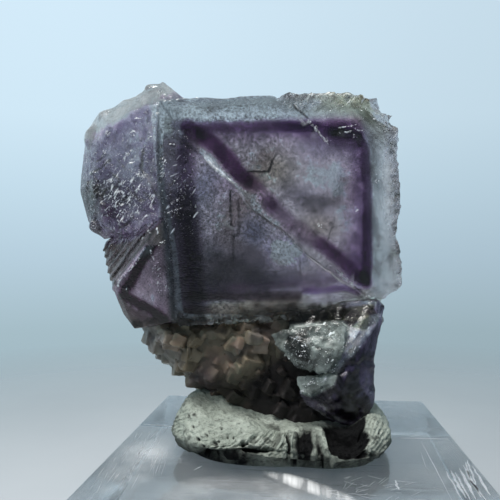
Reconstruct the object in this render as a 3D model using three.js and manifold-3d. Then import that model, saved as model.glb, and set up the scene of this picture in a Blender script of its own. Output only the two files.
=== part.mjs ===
// A cluster of intergrown fluorite cubes on a foot of granular matrix, held
// upright by a lump of mineral tack on a clear acrylic display block.
// Millimetres, +Z up. Origin: centre of the block's underside. -Y is the front.
import * as THREE from 'three';
import { ConvexGeometry } from 'three/addons/geometries/ConvexGeometry.js';
import { mergeVertices } from 'three/addons/utils/BufferGeometryUtils.js';
import Module from 'manifold-3d';

const wasm = await Module();
wasm.setup();

// ---- driving dimensions -------------------------------------------------
const BLOCK_SIDE = 45;         // square display block
const BLOCK_HEIGHT = 24;
const BLOCK_ARRIS = 0.5;       // polished arris on every edge
const BLOCK_CORNER = 0.7;      // broken upright corners

const MAIN_DEPTH = 17;         // main cube, front face to back face
const MAIN_ARRIS = 0.3;
const MAIN_CENTRE = [0.19, -6.5, 55.57];  // centre of its front face
const MAIN_TURN = 16;          // degrees about Z: left edge comes forward
const MAIN_LEAN = 6;           // degrees about X: top edge comes forward
const MAIN_ROLL = -5.72;       // degrees about Y: right side rides up
const MAIN_SIZE = [30.2, 27.1];   // front face, across and up

const TACK_GAP = 0.35;         // clearance between the tack and the stone
const TACK_SIDES = 44;

// Front outline of the main cube in its own face plane, [across, up].
// The upper right corner and the right edge are chipped, the rest is crystal edge.
const MAIN_OUTLINE = [
  [-15.1, 13.5], [-12.5, 13.6], [-5.2, 13.6], [-1.2, 13.5], [-0.5, 13.0], [0.5, 13.7],
  [1.8, 14.0], [4.3, 13.7], [7.6, 13.4], [9.0, 13.55], [10.6, 13.1], [12.2, 12.0],
  [13.3, 10.7], [14.5, 10.3], [14.8, 9.1], [15.2, 7.9], [15.0, 2.7], [14.9, -1.3],
  [14.3, -3.4], [14.1, -5.0], [14.7, -7.6], [15.0, -9.8], [14.9, -11.5], [14.5, -12.3],
  [12.8, -12.8], [11.2, -14.1], [9.5, -14.8], [2.6, -14.6], [-1.0, -14.8], [-4.9, -14.5],
  [-11.0, -14.3], [-15.1, -13.9], [-15.3, -10.5], [-15.3, -5.3], [-15.8, 0.0],
  [-16.0, 3.0], [-15.8, 7.8], [-15.4, 11.3],
];

// Growth step on the main face: the crystal is a hair thicker below and left of
// this line, which runs from the upper left corner down to the lower right.
const STEP_RISE = 0.35;
const STEP_OUTLINE = [
  [-14.4, 12.4], [-12.2, 8.7], [-10.2, 6.3], [-7.7, 3.9], [-5.9, 1.5], [-5.2, 0.0],
  [-3.5, -1.4], [-1.4, -3.0], [-0.1, -4.5], [1.8, -6.8], [4.8, -9.1], [7.9, -11.6],
  [9.2, -13.0], [8.6, -13.8], [-14.2, -13.2],
];

// Corner points of the other crystals and of the matrix, each a convex lump.
const LEFT_CUBE = [
  [-17.2, -8.6, 68.1], [-20.3, -7.8, 67.3], [-23.3, -6.6, 66.0], [-25.0, -6.0, 63.0], [-25.8, -5.6, 59.1],
  [-25.3, -5.6, 55.7], [-23.6, -5.8, 52.8], [-20.2, -7.4, 52.0], [-15.7, -9.2, 54.0], [-12.5, -10.2, 55.4],
  [-11.7, -10.4, 56.8], [-12.0, -10.0, 62.0], [-15.0, -9.2, 67.9], [-16.6, -4.5, 72.2], [-17.7, -4.5, 71.7],
  [-19.3, -4.5, 71.0], [-23.3, -3.5, 69.5], [-26.8, -2.5, 67.9], [-28.1, -2.0, 66.1], [-28.3, -2.0, 63.0],
  [-29.1, -1.5, 60.0], [-29.2, -1.5, 58.2], [-28.7, -1.5, 56.5], [-28.0, -1.5, 53.9], [-25.5, -2.0, 51.4],
  [-20.1, -3.0, 52.1], [-11.7, -4.0, 56.2], [-11.7, -4.0, 68.2], [-13.9, -4.5, 69.7],
  [-18.2, 6.0, 72.6], [-26.3, 5.5, 68.4], [-27.6, 5.5, 62.0], [-26.6, 5.5, 55.6], [-23.6, 6.0, 53.0],
  [-12.3, 7.0, 57.4], [-12.3, 7.0, 69.8],
];
const LOWER_LEFT_CUBE = [
  [-22.2, -6.8, 45.5], [-16.2, -9.6, 52.1], [-12.5, -10.2, 55.1], [-16.4, -9.8, 49.8], [-13.6, -9.3, 44.9],
  [-13.7, -8.9, 41.0], [-15.0, -8.2, 40.9], [-20.4, -6.8, 51.6], [-25.0, -3.0, 51.1], [-25.2, -3.0, 49.8],
  [-23.9, -4.2, 47.5], [-23.5, -5.0, 46.4], [-22.8, -4.5, 44.2], [-21.8, -3.5, 41.5], [-20.0, -4.0, 39.6],
  [-24.6, 4.0, 50.6], [-24.0, 4.5, 46.3], [-22.6, 5.0, 42.2], [-19.3, 5.0, 39.6], [-12.4, 5.5, 39.2],
  [-12.6, 6.0, 54.3],
];
const MATRIX_LEFT = [
  [-19.6, -4.6, 41.1], [-16.3, -6.8, 39.6], [-10.4, -7.3, 39.8], [-4.7, -7.3, 40.1], [-3.2, -7.0, 37.9],
  [-4.2, -6.2, 34.4], [-7.2, -5.6, 31.7], [-10.6, -5.2, 31.6], [-13.4, -4.6, 33.4], [-16.3, -3.8, 35.0],
  [-18.4, -3.4, 37.0], [-22.5, -1.0, 41.3], [-21.4, -1.0, 39.0], [-19.5, -1.0, 36.2], [-17.0, -1.0, 33.5],
  [-13.9, -1.0, 31.8], [-11.2, -1.0, 29.6], [-3.7, -1.0, 29.0], [-0.5, -1.0, 40.7],
  [-19.4, 5.5, 40.1], [-17.8, 6.0, 36.0], [-13.6, 6.5, 32.2], [-10.3, 6.5, 29.9], [-3.8, 6.5, 29.0],
  [-1.5, 6.5, 40.3],
];
const MATRIX_MIDDLE = [
  [-8.0, -6.2, 39.6], [-0.8, -6.2, 40.0], [1.5, -5.2, 36.8], [3.0, -4.4, 31.6], [5.4, -3.4, 28.8],
  [1.5, -3.6, 27.4], [-3.5, -3.8, 28.3], [-7.9, -3.8, 29.9], [-11.1, -3.4, 31.0], [-12.0, 2.0, 34.3],
  [-10.6, 2.0, 29.2], [-4.2, 2.0, 26.6], [4.2, 2.0, 26.2], [7.7, 2.0, 29.1], [5.6, 2.0, 40.2],
  [-11.6, 7.4, 37.6], [-9.6, 7.0, 31.2], [-4.0, 6.6, 27.4], [3.4, 6.4, 27.2], [6.5, 7.0, 30.6],
  [6.7, 8.5, 39.4], [-8.0, -4.8, 40.9], [4.0, -3.2, 41.7], [8.0, 7.0, 43.5], [-8.0, 7.5, 42.0],
];
const RIGHT_FACET = [
  [5.2, -7.2, 34.8], [6.8, -7.0, 36.1], [8.8, -5.6, 39.3], [11.0, -4.0, 41.0], [12.4, -2.8, 42.6],
  [12.1, -3.2, 40.9], [11.2, -4.2, 39.5], [10.7, -4.8, 38.1], [11.0, -4.6, 36.6], [10.7, -4.8, 35.4],
  [9.0, -6.2, 36.0], [6.7, -7.0, 34.1], [0.0, -5.0, 40.6], [0.5, -5.4, 36.8], [7.0, -3.8, 41.3],
  [6.0, -1.5, 43.0], [11.8, -1.6, 43.4], [11.6, 6.0, 43.4], [11.2, 5.5, 39.4], [9.6, 5.5, 35.5],
  [5.8, 5.5, 33.4], [1.0, 5.5, 37.0], [-0.5, 6.0, 42.6],
];
const RIGHT_CHIP = [
  [-2.1, -6.2, 39.1], [-0.5, -6.6, 39.7], [2.7, -7.0, 40.3], [6.7, -6.4, 40.6], [7.4, -6.3, 40.0],
  [7.1, -7.2, 38.4], [6.3, -7.8, 36.8], [4.9, -7.8, 34.8], [3.8, -7.8, 34.5], [1.3, -7.6, 35.1],
  [-0.4, -7.2, 36.6], [-2.0, -6.6, 38.2], [2.7, -8.2, 37.9], [4.9, -8.3, 37.1], [0.0, -3.0, 39.5],
  [6.5, -3.0, 40.0], [4.5, -3.5, 35.5], [1.5, -3.5, 36.0],
];
const RIGHT_CHIP_LOW = [
  [1.1, -6.6, 34.0], [2.7, -7.0, 34.3], [4.4, -7.2, 34.2], [5.4, -7.0, 34.2], [5.2, -7.2, 33.5],
  [3.8, -7.4, 32.7], [2.7, -7.2, 32.0], [1.6, -6.9, 32.2], [1.1, -6.6, 33.0], [1.8, -4.5, 33.6],
  [5.0, -4.5, 33.8], [3.5, -4.8, 32.4],
];
const RIGHT_BODY = [
  [1.5, -6.2, 31.8], [2.3, -6.4, 30.5], [3.8, -6.6, 29.8], [5.3, -6.4, 28.9], [6.9, -5.8, 28.0],
  [8.5, -5.2, 27.5], [9.7, -4.6, 28.0], [10.9, -4.0, 30.0], [11.0, -4.2, 32.4], [10.8, -4.4, 34.2],
  [11.1, -4.6, 36.6], [5.2, -7.2, 34.1], [7.2, -7.4, 34.7], [3.8, -6.8, 32.3], [6.6, -7.2, 30.2],
  [10.4, 4.6, 34.8], [10.3, 4.4, 31.2], [8.8, 4.2, 28.4], [6.9, 4.0, 27.0], [2.9, 5.0, 27.2],
  [1.4, 5.5, 32.4], [9.6, 5.5, 36.5], [4.0, 5.0, 37.0],
];
// A lesser cube grown through the back of the main one.
const BACK_CUBE_SIZE = [17, 9, 15];
const BACK_CUBE_AT = [-1.5, 9.5, 55.0];
const BACK_CUBE_TURN = [9, 30, -14];   // degrees about X, Y, Z
// The part of the matrix that is pressed into the tack.
const FOOT = [
  [-9.6, -4.0, 31.6], [-3.5, -4.2, 29.4], [1.5, -4.2, 28.4], [6.6, -4.6, 28.6], [8.6, -3.6, 29.4],
  [-7.6, -3.4, 27.2], [-3.4, -3.8, 25.9], [2.6, -3.8, 25.7], [6.6, -3.4, 26.1], [8.0, 2.4, 26.2],
  [2.4, 4.4, 25.7], [-4.6, 4.4, 26.0], [-8.8, 1.6, 27.2], [9.4, 3.0, 30.5], [3.0, 6.6, 31.4],
  [-8.2, 6.4, 31.8], [-10.8, 1.6, 32.2],
];

// Tack: [x, y] where it meets the block, [x, y] at its widest, and rim height
// above the block, going round from the left end by way of the front.
const TACK_RING = [
  [-13.2, -3.4, -14.6, -3.6, 7.6],
  [-12.7, -7.2, -13.8, -7.6, 7.3],
  [-10.6, -9.4, -11.2, -10.4, 6.7],
  [-7.4, -10.7, -7.8, -12.0, 6.3],
  [-3.2, -11.2, -3.3, -12.5, 5.5],
  [1.5, -10.9, 1.5, -12.2, 4.4],
  [6.1, -10.8, 6.2, -12.0, 4.1],
  [9.4, -9.6, 9.9, -10.6, 4.8],
  [11.4, -6.4, 12.0, -7.0, 5.5],
  [12.5, -1.9, 13.0, -2.1, 5.3],
  [11.9, 2.6, 12.5, 2.8, 5.4],
  [10.6, 6.4, 11.3, 6.8, 5.4],
  [6.2, 8.9, 6.6, 9.7, 5.6],
  [0.6, 9.8, 0.6, 10.7, 6.0],
  [-5.0, 9.3, -5.4, 10.2, 6.4],
  [-9.8, 6.8, -10.6, 7.4, 6.9],
  [-12.8, 2.2, -13.9, 2.4, 7.6],
];
// Section of the tack from the middle of its underside over the rim to the
// middle of its top: [share of the radius, share of the rim height].
const TACK_SECTION = [
  [0, 0], [1, 0], [1.05, 0.16], [1.08, 0.38], [1.04, 0.62], [0.95, 0.84],
  [0.82, 0.97], [0.68, 1.0], [0.5, 0.93], [0, 0.85],
];

// ---- helpers ------------------------------------------------------------
const rad = THREE.MathUtils.degToRad;

function solid(geometry) {
  const bare = new THREE.BufferGeometry();
  bare.setAttribute('position', geometry.getAttribute('position').clone());
  if (geometry.index) bare.setIndex(geometry.index.clone());
  const merged = mergeVertices(bare, 1e-4);
  const mesh = new wasm.Mesh({
    numProp: 3,
    vertProperties: new Float32Array(merged.getAttribute('position').array),
    triVerts: new Uint32Array(merged.index.array),
  });
  return new wasm.Manifold(mesh);
}

function geometryOf(manifold) {
  const mesh = manifold.getMesh();
  const geometry = new THREE.BufferGeometry();
  geometry.setAttribute('position', new THREE.BufferAttribute(new Float32Array(mesh.vertProperties), 3));
  geometry.setIndex(new THREE.BufferAttribute(new Uint32Array(mesh.triVerts), 1));
  geometry.computeVertexNormals();
  return geometry;
}

function hull(points) {
  return new ConvexGeometry(points.map((p) => new THREE.Vector3(...p)));
}

// The same lump moved outwards, each face by at least `gap`.
function swollen(points, gap) {
  const centre = new THREE.Vector3();
  points.forEach((p) => centre.add(new THREE.Vector3(...p)));
  centre.divideScalar(points.length);
  const position = hull(points).getAttribute('position');
  const triangle = new THREE.Triangle();
  const plane = new THREE.Plane();
  let reach = Infinity;
  for (let i = 0; i < position.count; i += 3) {
    triangle.a.fromBufferAttribute(position, i);
    triangle.b.fromBufferAttribute(position, i + 1);
    triangle.c.fromBufferAttribute(position, i + 2);
    triangle.getPlane(plane);
    reach = Math.min(reach, Math.abs(plane.distanceToPoint(centre)));
  }
  const grow = 1 + gap / reach;
  return points.map((p) => new THREE.Vector3(...p).sub(centre).multiplyScalar(grow).add(centre).toArray());
}

function outline(points) {
  return new THREE.Shape(points.map((p) => new THREE.Vector2(...p)));
}

// ---- acrylic block ------------------------------------------------------
function blockGeometry() {
  const h = BLOCK_SIDE / 2 - BLOCK_ARRIS;
  const c = BLOCK_CORNER;
  const shape = outline([
    [-h + c, -h], [h - c, -h], [h, -h + c], [h, h - c], [h - c, h], [-h + c, h], [-h, h - c], [-h, -h + c],
  ]);
  const geometry = new THREE.ExtrudeGeometry(shape, {
    depth: BLOCK_HEIGHT - 2 * BLOCK_ARRIS,
    bevelEnabled: true,
    bevelThickness: BLOCK_ARRIS,
    bevelSize: BLOCK_ARRIS,
    bevelSegments: 1,
  });
  geometry.translate(0, 0, BLOCK_ARRIS);
  return geometry;
}

// ---- fluorite -----------------------------------------------------------
const mainPose = new THREE.Matrix4()
  .makeTranslation(...MAIN_CENTRE)
  .multiply(new THREE.Matrix4().makeRotationZ(rad(MAIN_TURN)))
  .multiply(new THREE.Matrix4().makeRotationX(rad(MAIN_LEAN)))
  .multiply(new THREE.Matrix4().makeRotationY(rad(MAIN_ROLL)));

// Stands an outline drawn in the face plane upright and runs it back into the cube.
function plate(points, front, back, arris) {
  const geometry = new THREE.ExtrudeGeometry(outline(points), {
    depth: back - front - 2 * arris,
    bevelEnabled: arris > 0,
    bevelThickness: arris,
    bevelSize: arris,
    bevelOffset: -arris,
    bevelSegments: 1,
  });
  geometry.rotateX(Math.PI / 2);            // outline up, depth towards -Y
  geometry.translate(0, back - arris, 0);   // back face at +back
  return geometry.applyMatrix4(mainPose);
}

function specimenGeometry() {
  let stone = solid(plate(MAIN_OUTLINE, 0, MAIN_DEPTH, MAIN_ARRIS));
  stone = stone.add(solid(plate(STEP_OUTLINE, -STEP_RISE, 4, 0)));
  const back = new THREE.BoxGeometry(...BACK_CUBE_SIZE);
  back.rotateX(rad(BACK_CUBE_TURN[0])).rotateY(rad(BACK_CUBE_TURN[1])).rotateZ(rad(BACK_CUBE_TURN[2]));
  back.translate(...BACK_CUBE_AT);
  stone = stone.add(solid(back));
  for (const lump of [LEFT_CUBE, LOWER_LEFT_CUBE, MATRIX_LEFT, MATRIX_MIDDLE, RIGHT_FACET, RIGHT_CHIP, RIGHT_CHIP_LOW, RIGHT_BODY, FOOT]) {
    stone = stone.add(solid(hull(lump)));
  }
  return geometryOf(stone);
}

// ---- mineral tack -------------------------------------------------------
// Value round the ring at an angle, smoothly blended between its stations.
const stations = TACK_RING.map((s) => ({
  angle: Math.atan2(s[3], s[2]),
  foot: Math.hypot(s[0], s[1]),
  wide: Math.hypot(s[2], s[3]),
  rim: s[4],
})).sort((a, b) => a.angle - b.angle);

function station(angle) {
  const n = stations.length;
  for (let i = 0; i < n; i++) {
    const a = stations[i];
    const b = stations[(i + 1) % n];
    const end = i === n - 1 ? b.angle + 2 * Math.PI : b.angle;
    const at = i === n - 1 && angle < a.angle ? angle + 2 * Math.PI : angle;
    if (at >= a.angle && at <= end) {
      const t = (at - a.angle) / (end - a.angle);
      const s = t * t * (3 - 2 * t);
      return { foot: a.foot + (b.foot - a.foot) * s, wide: a.wide + (b.wide - a.wide) * s, rim: a.rim + (b.rim - a.rim) * s };
    }
  }
  return stations[0];
}

function tackGeometry() {
  const profile = TACK_SECTION.map((p) => new THREE.Vector2(...p));
  const lathe = new THREE.LatheGeometry(profile, TACK_SIDES);
  lathe.rotateX(Math.PI / 2);               // the lathe's axis becomes Z
  const position = lathe.getAttribute('position');
  const p = new THREE.Vector3();
  for (let i = 0; i < position.count; i++) {
    p.fromBufferAttribute(position, i);
    const share = Math.hypot(p.x, p.y);
    if (share < 1e-6) {
      position.setXYZ(i, 0, 0, BLOCK_HEIGHT + p.z * 6);
      continue;
    }
    const angle = Math.atan2(p.y, p.x);
    const s = station(angle);
    const bulge = s.foot + (s.wide - s.foot) * Math.min(1, p.z / 0.38);
    const lump = p.z > 0.05 ? 1 + 0.012 * Math.sin(5 * angle + 3 * p.z) + 0.01 * Math.sin(11 * angle - 5 * p.z) : 1;
    const radius = (share / 1.05) * bulge * lump;
    const height = p.z * s.rim;
    position.setXYZ(i, (p.x / share) * radius, (p.y / share) * radius, BLOCK_HEIGHT + height);
  }
  let tack = solid(lathe);
  for (const lump of [FOOT, MATRIX_MIDDLE, MATRIX_LEFT, RIGHT_BODY]) {
    tack = tack.subtract(solid(hull(swollen(lump, TACK_GAP))));
  }
  return geometryOf(tack);
}

// ---- assembly -----------------------------------------------------------
const specimen = new THREE.Group();

const fluorite = new THREE.Mesh(specimenGeometry(), new THREE.MeshStandardMaterial({
  color: 0x6f6a80, roughness: 0.28, metalness: 0,
}));
fluorite.name = 'fluorite_specimen';

const tack = new THREE.Mesh(tackGeometry(), new THREE.MeshStandardMaterial({
  color: 0xa9b0a4, roughness: 0.85, metalness: 0,
}));
tack.name = 'mineral_tack';

const block = new THREE.Mesh(blockGeometry(), new THREE.MeshStandardMaterial({
  color: 0xcfd8dc, roughness: 0.05, metalness: 0,
}));
block.name = 'acrylic_block';

specimen.add(fluorite, tack, block);
export default specimen;
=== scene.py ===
import math

import bmesh
import bpy
import numpy as np
from mathutils import Matrix, Vector


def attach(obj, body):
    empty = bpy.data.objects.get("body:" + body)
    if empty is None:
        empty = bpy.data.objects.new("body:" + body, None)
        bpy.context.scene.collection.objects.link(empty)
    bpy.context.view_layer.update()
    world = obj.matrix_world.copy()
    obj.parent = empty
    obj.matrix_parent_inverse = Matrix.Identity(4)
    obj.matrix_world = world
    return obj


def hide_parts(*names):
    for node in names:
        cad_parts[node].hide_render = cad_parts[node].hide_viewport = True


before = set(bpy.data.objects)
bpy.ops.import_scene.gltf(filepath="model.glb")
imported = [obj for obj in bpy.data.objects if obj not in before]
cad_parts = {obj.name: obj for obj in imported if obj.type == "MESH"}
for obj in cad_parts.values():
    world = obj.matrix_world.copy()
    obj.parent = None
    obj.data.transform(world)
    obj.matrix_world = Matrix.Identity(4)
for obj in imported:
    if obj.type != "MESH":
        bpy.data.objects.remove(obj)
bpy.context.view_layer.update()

MM = 0.001
F32 = np.float32
scene = bpy.context.scene

# =====================================================================
# frame of the main cube's front face: u across, w into the cube, v up (mm)
# =====================================================================
FACE_AT = np.array([0.19, -6.5, 55.57])


def turn(a, b, c):
    ca, sa = math.cos(a), math.sin(a)
    cb, sb = math.cos(b), math.sin(b)
    cc, sc = math.cos(c), math.sin(c)
    rz = np.array([[ca, -sa, 0], [sa, ca, 0], [0, 0, 1]])
    rx = np.array([[1, 0, 0], [0, cb, -sb], [0, sb, cb]])
    ry = np.array([[cc, 0, sc], [0, 1, 0], [-sc, 0, cc]])
    return rz @ rx @ ry


FACE_M = turn(math.radians(16), math.radians(6), math.radians(-5.72))


def to_face(p):
    return (np.asarray(p) - FACE_AT) @ FACE_M


def from_face(l):
    return np.asarray(l) @ FACE_M.T + FACE_AT


# =====================================================================
# noise
# =====================================================================
class Noise:
    def __init__(self, seed, n=48):
        self.n = n
        self.v = np.random.default_rng(seed).uniform(-1, 1, (n, n, n)).astype(F32)

    def __call__(self, p, size):
        q = np.asarray(p, F32) / F32(size) + F32(self.n * 4)
        i = np.floor(q).astype(np.int32)
        f = q - i
        f = f * f * (3 - 2 * f)
        n = self.n
        x0, y0, z0 = i[:, 0] % n, i[:, 1] % n, i[:, 2] % n
        x1, y1, z1 = (x0 + 1) % n, (y0 + 1) % n, (z0 + 1) % n
        fx, fy, fz = f[:, 0], f[:, 1], f[:, 2]
        v = self.v
        a = v[x0, y0, z0] * (1 - fx) + v[x1, y0, z0] * fx
        b = v[x0, y1, z0] * (1 - fx) + v[x1, y1, z0] * fx
        c = v[x0, y0, z1] * (1 - fx) + v[x1, y0, z1] * fx
        d = v[x0, y1, z1] * (1 - fx) + v[x1, y1, z1] * fx
        return (a * (1 - fy) + b * fy) * (1 - fz) + (c * (1 - fy) + d * fy) * fz


def fbm(noise, p, size, octaves=4, gain=0.5):
    out = np.zeros(len(p), F32)
    amp, total = 1.0, 0.0
    for o in range(octaves):
        out += F32(amp) * noise(p + F32(7.3 * o), size / (2 ** o))
        total += amp
        amp *= gain
    return out / F32(total)


class Cells:
    """Jittered cells: nearest distances, and a random number and tilt for each cell."""

    def __init__(self, seed, n=32, stretch=None):
        rng = np.random.default_rng(seed)
        self.n = n
        self.j = rng.uniform(0.08, 0.92, (n, n, n, 3)).astype(F32)
        self.r = rng.uniform(0, 1, (n, n, n)).astype(F32)
        t = rng.normal(size=(n, n, n, 3)).astype(F32)
        self.t = t / np.linalg.norm(t, axis=-1, keepdims=True)
        self.stretch = stretch

    def __call__(self, p, size):
        q = np.asarray(p, F32) / F32(size) + F32(self.n * 4)
        base = np.floor(q).astype(np.int32)
        m = len(q)
        f1 = np.full(m, 9e9, F32)
        f2 = np.full(m, 9e9, F32)
        rid = np.zeros(m, F32)
        off = np.zeros((m, 3), F32)
        tilt = np.zeros((m, 3), F32)
        n = self.n
        for dx in (-1, 0, 1):
            for dy in (-1, 0, 1):
                for dz in (-1, 0, 1):
                    c = base + np.array([dx, dy, dz], np.int32)
                    k = c % n
                    pt = c + self.j[k[:, 0], k[:, 1], k[:, 2]]
                    o = (q - pt).astype(F32)
                    d = (o * o).sum(1)
                    near = d < f1
                    f2 = np.where(near, f1, np.minimum(f2, d))
                    f1 = np.where(near, d, f1)
                    kk = k[near]
                    rid[near] = self.r[kk[:, 0], kk[:, 1], kk[:, 2]]
                    off[near] = o[near]
                    tilt[near] = self.t[kk[:, 0], kk[:, 1], kk[:, 2]]
        return np.sqrt(f1), np.sqrt(f2), rid, off, tilt


def smooth(a, b, x):
    t = np.clip((x - a) / (b - a), 0, 1)
    return t * t * (3 - 2 * t)


def bump1(x, at, half, soft):
    """1 within half of at, falling to 0 over soft."""
    return 1 - smooth(half, half + soft, np.abs(x - at))


NA, NB, NC = Noise(11), Noise(23), Noise(37)
CA, CB, CC = Cells(5), Cells(17), Cells(29)


def facets(p, size, cells=CA):
    """Broken-crystal relief: each cell a small tilted plane, from -1 to 1."""
    f1, f2, rid, off, tilt = cells(p, size)
    edge = smooth(0.0, 0.25, f2 - f1)
    return np.clip((off * tilt).sum(1) * 1.6 + (rid - 0.5) * 0.5, -1, 1) * (0.35 + 0.65 * edge)


def steps(p, n, size, noise=NA, wander=0.5):
    """Growth or cleavage steps across direction n, each a shallow ramp and a drop, from -0.5 to 0.5."""
    n = np.array(n, F32)
    t = p @ (n / np.linalg.norm(n)) / F32(size) + F32(wander) * noise(p, size * 3.5)
    f = t - np.floor(t)
    return (f - 0.5) * (0.55 + 0.45 * np.sin(np.floor(t) * 2.4))


# =====================================================================
# solids as signed distances on a grid
# =====================================================================
def hull_planes(points):
    bm = bmesh.new()
    for q in points:
        bm.verts.new(q)
    bmesh.ops.convex_hull(bm, input=bm.verts)
    bm.verts.ensure_lookup_table()
    centre = np.mean(points, axis=0)
    planes = {}
    for f in bm.faces:
        if len(f.verts) < 3:
            continue
        f.normal_update()
        n = np.array(f.normal)
        if np.linalg.norm(n) < 0.5:
            continue
        d = float(n @ np.array(f.verts[0].co))
        if n @ centre > d:
            n, d = -n, -d
        planes[tuple(np.round([*n, d / 10], 2))] = (n, d)
    bm.free()
    ns = np.array([a for a, _ in planes.values()], F32)
    ds = np.array([b for _, b in planes.values()], F32)
    return ns, ds


def hull_sdf(p, planes, soft=0.0):
    ns, ds = planes
    out = np.full(len(p), -9e9, F32)
    for n, d in zip(ns, ds):
        np.maximum(out, p @ n - d, out=out)
    return out


def box_sdf(l, lo, hi):
    """l in a box's own axes."""
    c = (np.array(lo) + np.array(hi)) / 2
    h = (np.array(hi) - np.array(lo)) / 2
    q = np.abs(l - c.astype(F32)) - h.astype(F32)
    return np.max(q, axis=1)


class Field:
    def __init__(self, lo, hi, h):
        self.lo = np.array(lo, float)
        self.h = h
        self.n = np.ceil((np.array(hi) - self.lo) / h).astype(int) + 1
        self.d = np.full(tuple(self.n), 5.0, F32)

    def sub(self, lo, hi):
        a = np.clip(np.floor((np.array(lo) - self.lo) / self.h).astype(int), 0, self.n)
        b = np.clip(np.ceil((np.array(hi) - self.lo) / self.h).astype(int) + 1, 0, self.n)
        ax = [(self.lo[k] + self.h * np.arange(a[k], b[k])).astype(F32) for k in range(3)]
        g = np.stack(np.meshgrid(*ax, indexing="ij"), -1).reshape(-1, 3)
        return tuple(slice(a[k], b[k]) for k in range(3)), g, tuple(b - a)

    def add(self, fn, lo, hi, op=np.minimum):
        s, g, shape = self.sub(lo, hi)
        v = fn(g).reshape(shape)
        self.d[s] = op(self.d[s], v)

    def mesh(self):
        return surface_nets(self.d, self.lo, self.h)


def surface_nets(D, lo, h):
    D = D.copy()
    for a in range(3):  # keep the border outside, so that the surface closes
        ix = [slice(None)] * 3
        ix[a] = 0
        D[tuple(ix)] = 1
        ix[a] = -1
        D[tuple(ix)] = 1
    D[D == 0] = 1e-5
    s = D < 0
    cnt = np.zeros(tuple(np.array(D.shape) - 1), np.uint8)
    for i in (0, 1):
        for j in (0, 1):
            for k in (0, 1):
                cnt += s[i:D.shape[0] - 1 + i, j:D.shape[1] - 1 + j, k:D.shape[2] - 1 + k]
    act = (cnt > 0) & (cnt < 8)
    cell = np.argwhere(act).astype(np.int32)
    m = len(cell)
    idx = np.full(act.shape, -1, np.int32)
    idx[act] = np.arange(m, dtype=np.int32)
    acc = np.zeros((m, 3), F32)
    num = np.zeros(m, F32)
    for a in range(3):
        b, c = [x for x in range(3) if x != a]
        for ob in (0, 1):
            for oc in (0, 1):
                o = np.zeros(3, np.int32)
                o[b], o[c] = ob, oc
                p0 = cell + o
                p1 = p0.copy()
                p1[:, a] += 1
                d0 = D[p0[:, 0], p0[:, 1], p0[:, 2]]
                d1 = D[p1[:, 0], p1[:, 1], p1[:, 2]]
                x = (d0 < 0) != (d1 < 0)
                t = d0[x] / (d0[x] - d1[x])
                pt = np.tile(o.astype(F32), (len(t), 1))
                pt[:, a] = t
                acc[x] += pt
                num[x] += 1
    verts = (cell + acc / num[:, None]) * h + lo
    quads = []
    for a in range(3):
        b, c = [(1, 2), (2, 0), (0, 1)][a]
        lo_s = [slice(None)] * 3
        hi_s = [slice(None)] * 3
        lo_s[a] = slice(0, -1)
        hi_s[a] = slice(1, None)
        e = s[tuple(lo_s)] != s[tuple(hi_s)]
        pos = np.argwhere(e).astype(np.int32)
        ok = (pos[:, b] > 0) & (pos[:, c] > 0) & (pos[:, b] < D.shape[b] - 1) & (pos[:, c] < D.shape[c] - 1)
        pos = pos[ok]
        first = s[pos[:, 0], pos[:, 1], pos[:, 2]]
        ring = []
        for ob, oc in ((-1, -1), (0, -1), (0, 0), (-1, 0)):
            q = pos.copy()
            q[:, b] += ob
            q[:, c] += oc
            ring.append(idx[q[:, 0], q[:, 1], q[:, 2]])
        ring = np.stack(ring, 1)
        ring[~first] = ring[~first][:, ::-1]
        quads.append(ring)
    quads = np.concatenate(quads)
    quads = quads[(quads >= 0).all(1)]
    return verts, quads


def keep_big(verts, quads, share=0.02):
    """Leaves out crumbs that float free of the main body."""
    lab = np.arange(len(verts))
    ed = np.concatenate([quads[:, [0, 1]], quads[:, [1, 2]], quads[:, [2, 3]]])
    for _ in range(200):
        m = np.minimum(lab[ed[:, 0]], lab[ed[:, 1]])
        new = lab.copy()
        np.minimum.at(new, ed[:, 0], m)
        np.minimum.at(new, ed[:, 1], m)
        new = new[new]
        new = new[new]
        if (new == lab).all():
            break
        lab = new
    ids, n = np.unique(lab, return_counts=True)
    keep = np.isin(lab, ids[n >= share * len(verts)])
    remap = np.cumsum(keep) - 1
    q = quads[keep[quads[:, 0]]]
    return verts[keep], remap[q]


def new_mesh(name, verts, faces, smooth_angle=None, flat=False):
    """verts in mm in the row frame; faces an (n, k) array or a list."""
    me = bpy.data.meshes.new(name)
    v = np.asarray(verts, np.float64) * MM
    if isinstance(faces, np.ndarray):
        n, k = faces.shape
        me.vertices.add(len(v))
        me.vertices.foreach_set("co", v.astype(F32).ravel())
        me.loops.add(n * k)
        me.loops.foreach_set("vertex_index", faces.astype(np.int32).ravel())
        me.polygons.add(n)
        me.polygons.foreach_set("loop_start", np.arange(0, n * k, k, dtype=np.int32))
        me.polygons.foreach_set("loop_total", np.full(n, k, np.int32))
        me.update(calc_edges=True)
        me.validate()
    else:
        me.from_pydata([tuple(x) for x in v], [], [tuple(f) for f in faces])
        me.validate()
    me.polygons.foreach_set("use_smooth", np.full(len(me.polygons), not flat))
    if smooth_angle:
        me.set_sharp_from_angle(angle=math.radians(smooth_angle))
    ob = bpy.data.objects.new(name, me)
    scene.collection.objects.link(ob)
    return ob


def set_attr(ob, name, values):
    a = ob.data.attributes.new(name, "FLOAT", "POINT")
    a.data.foreach_set("value", np.asarray(values, F32))


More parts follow.
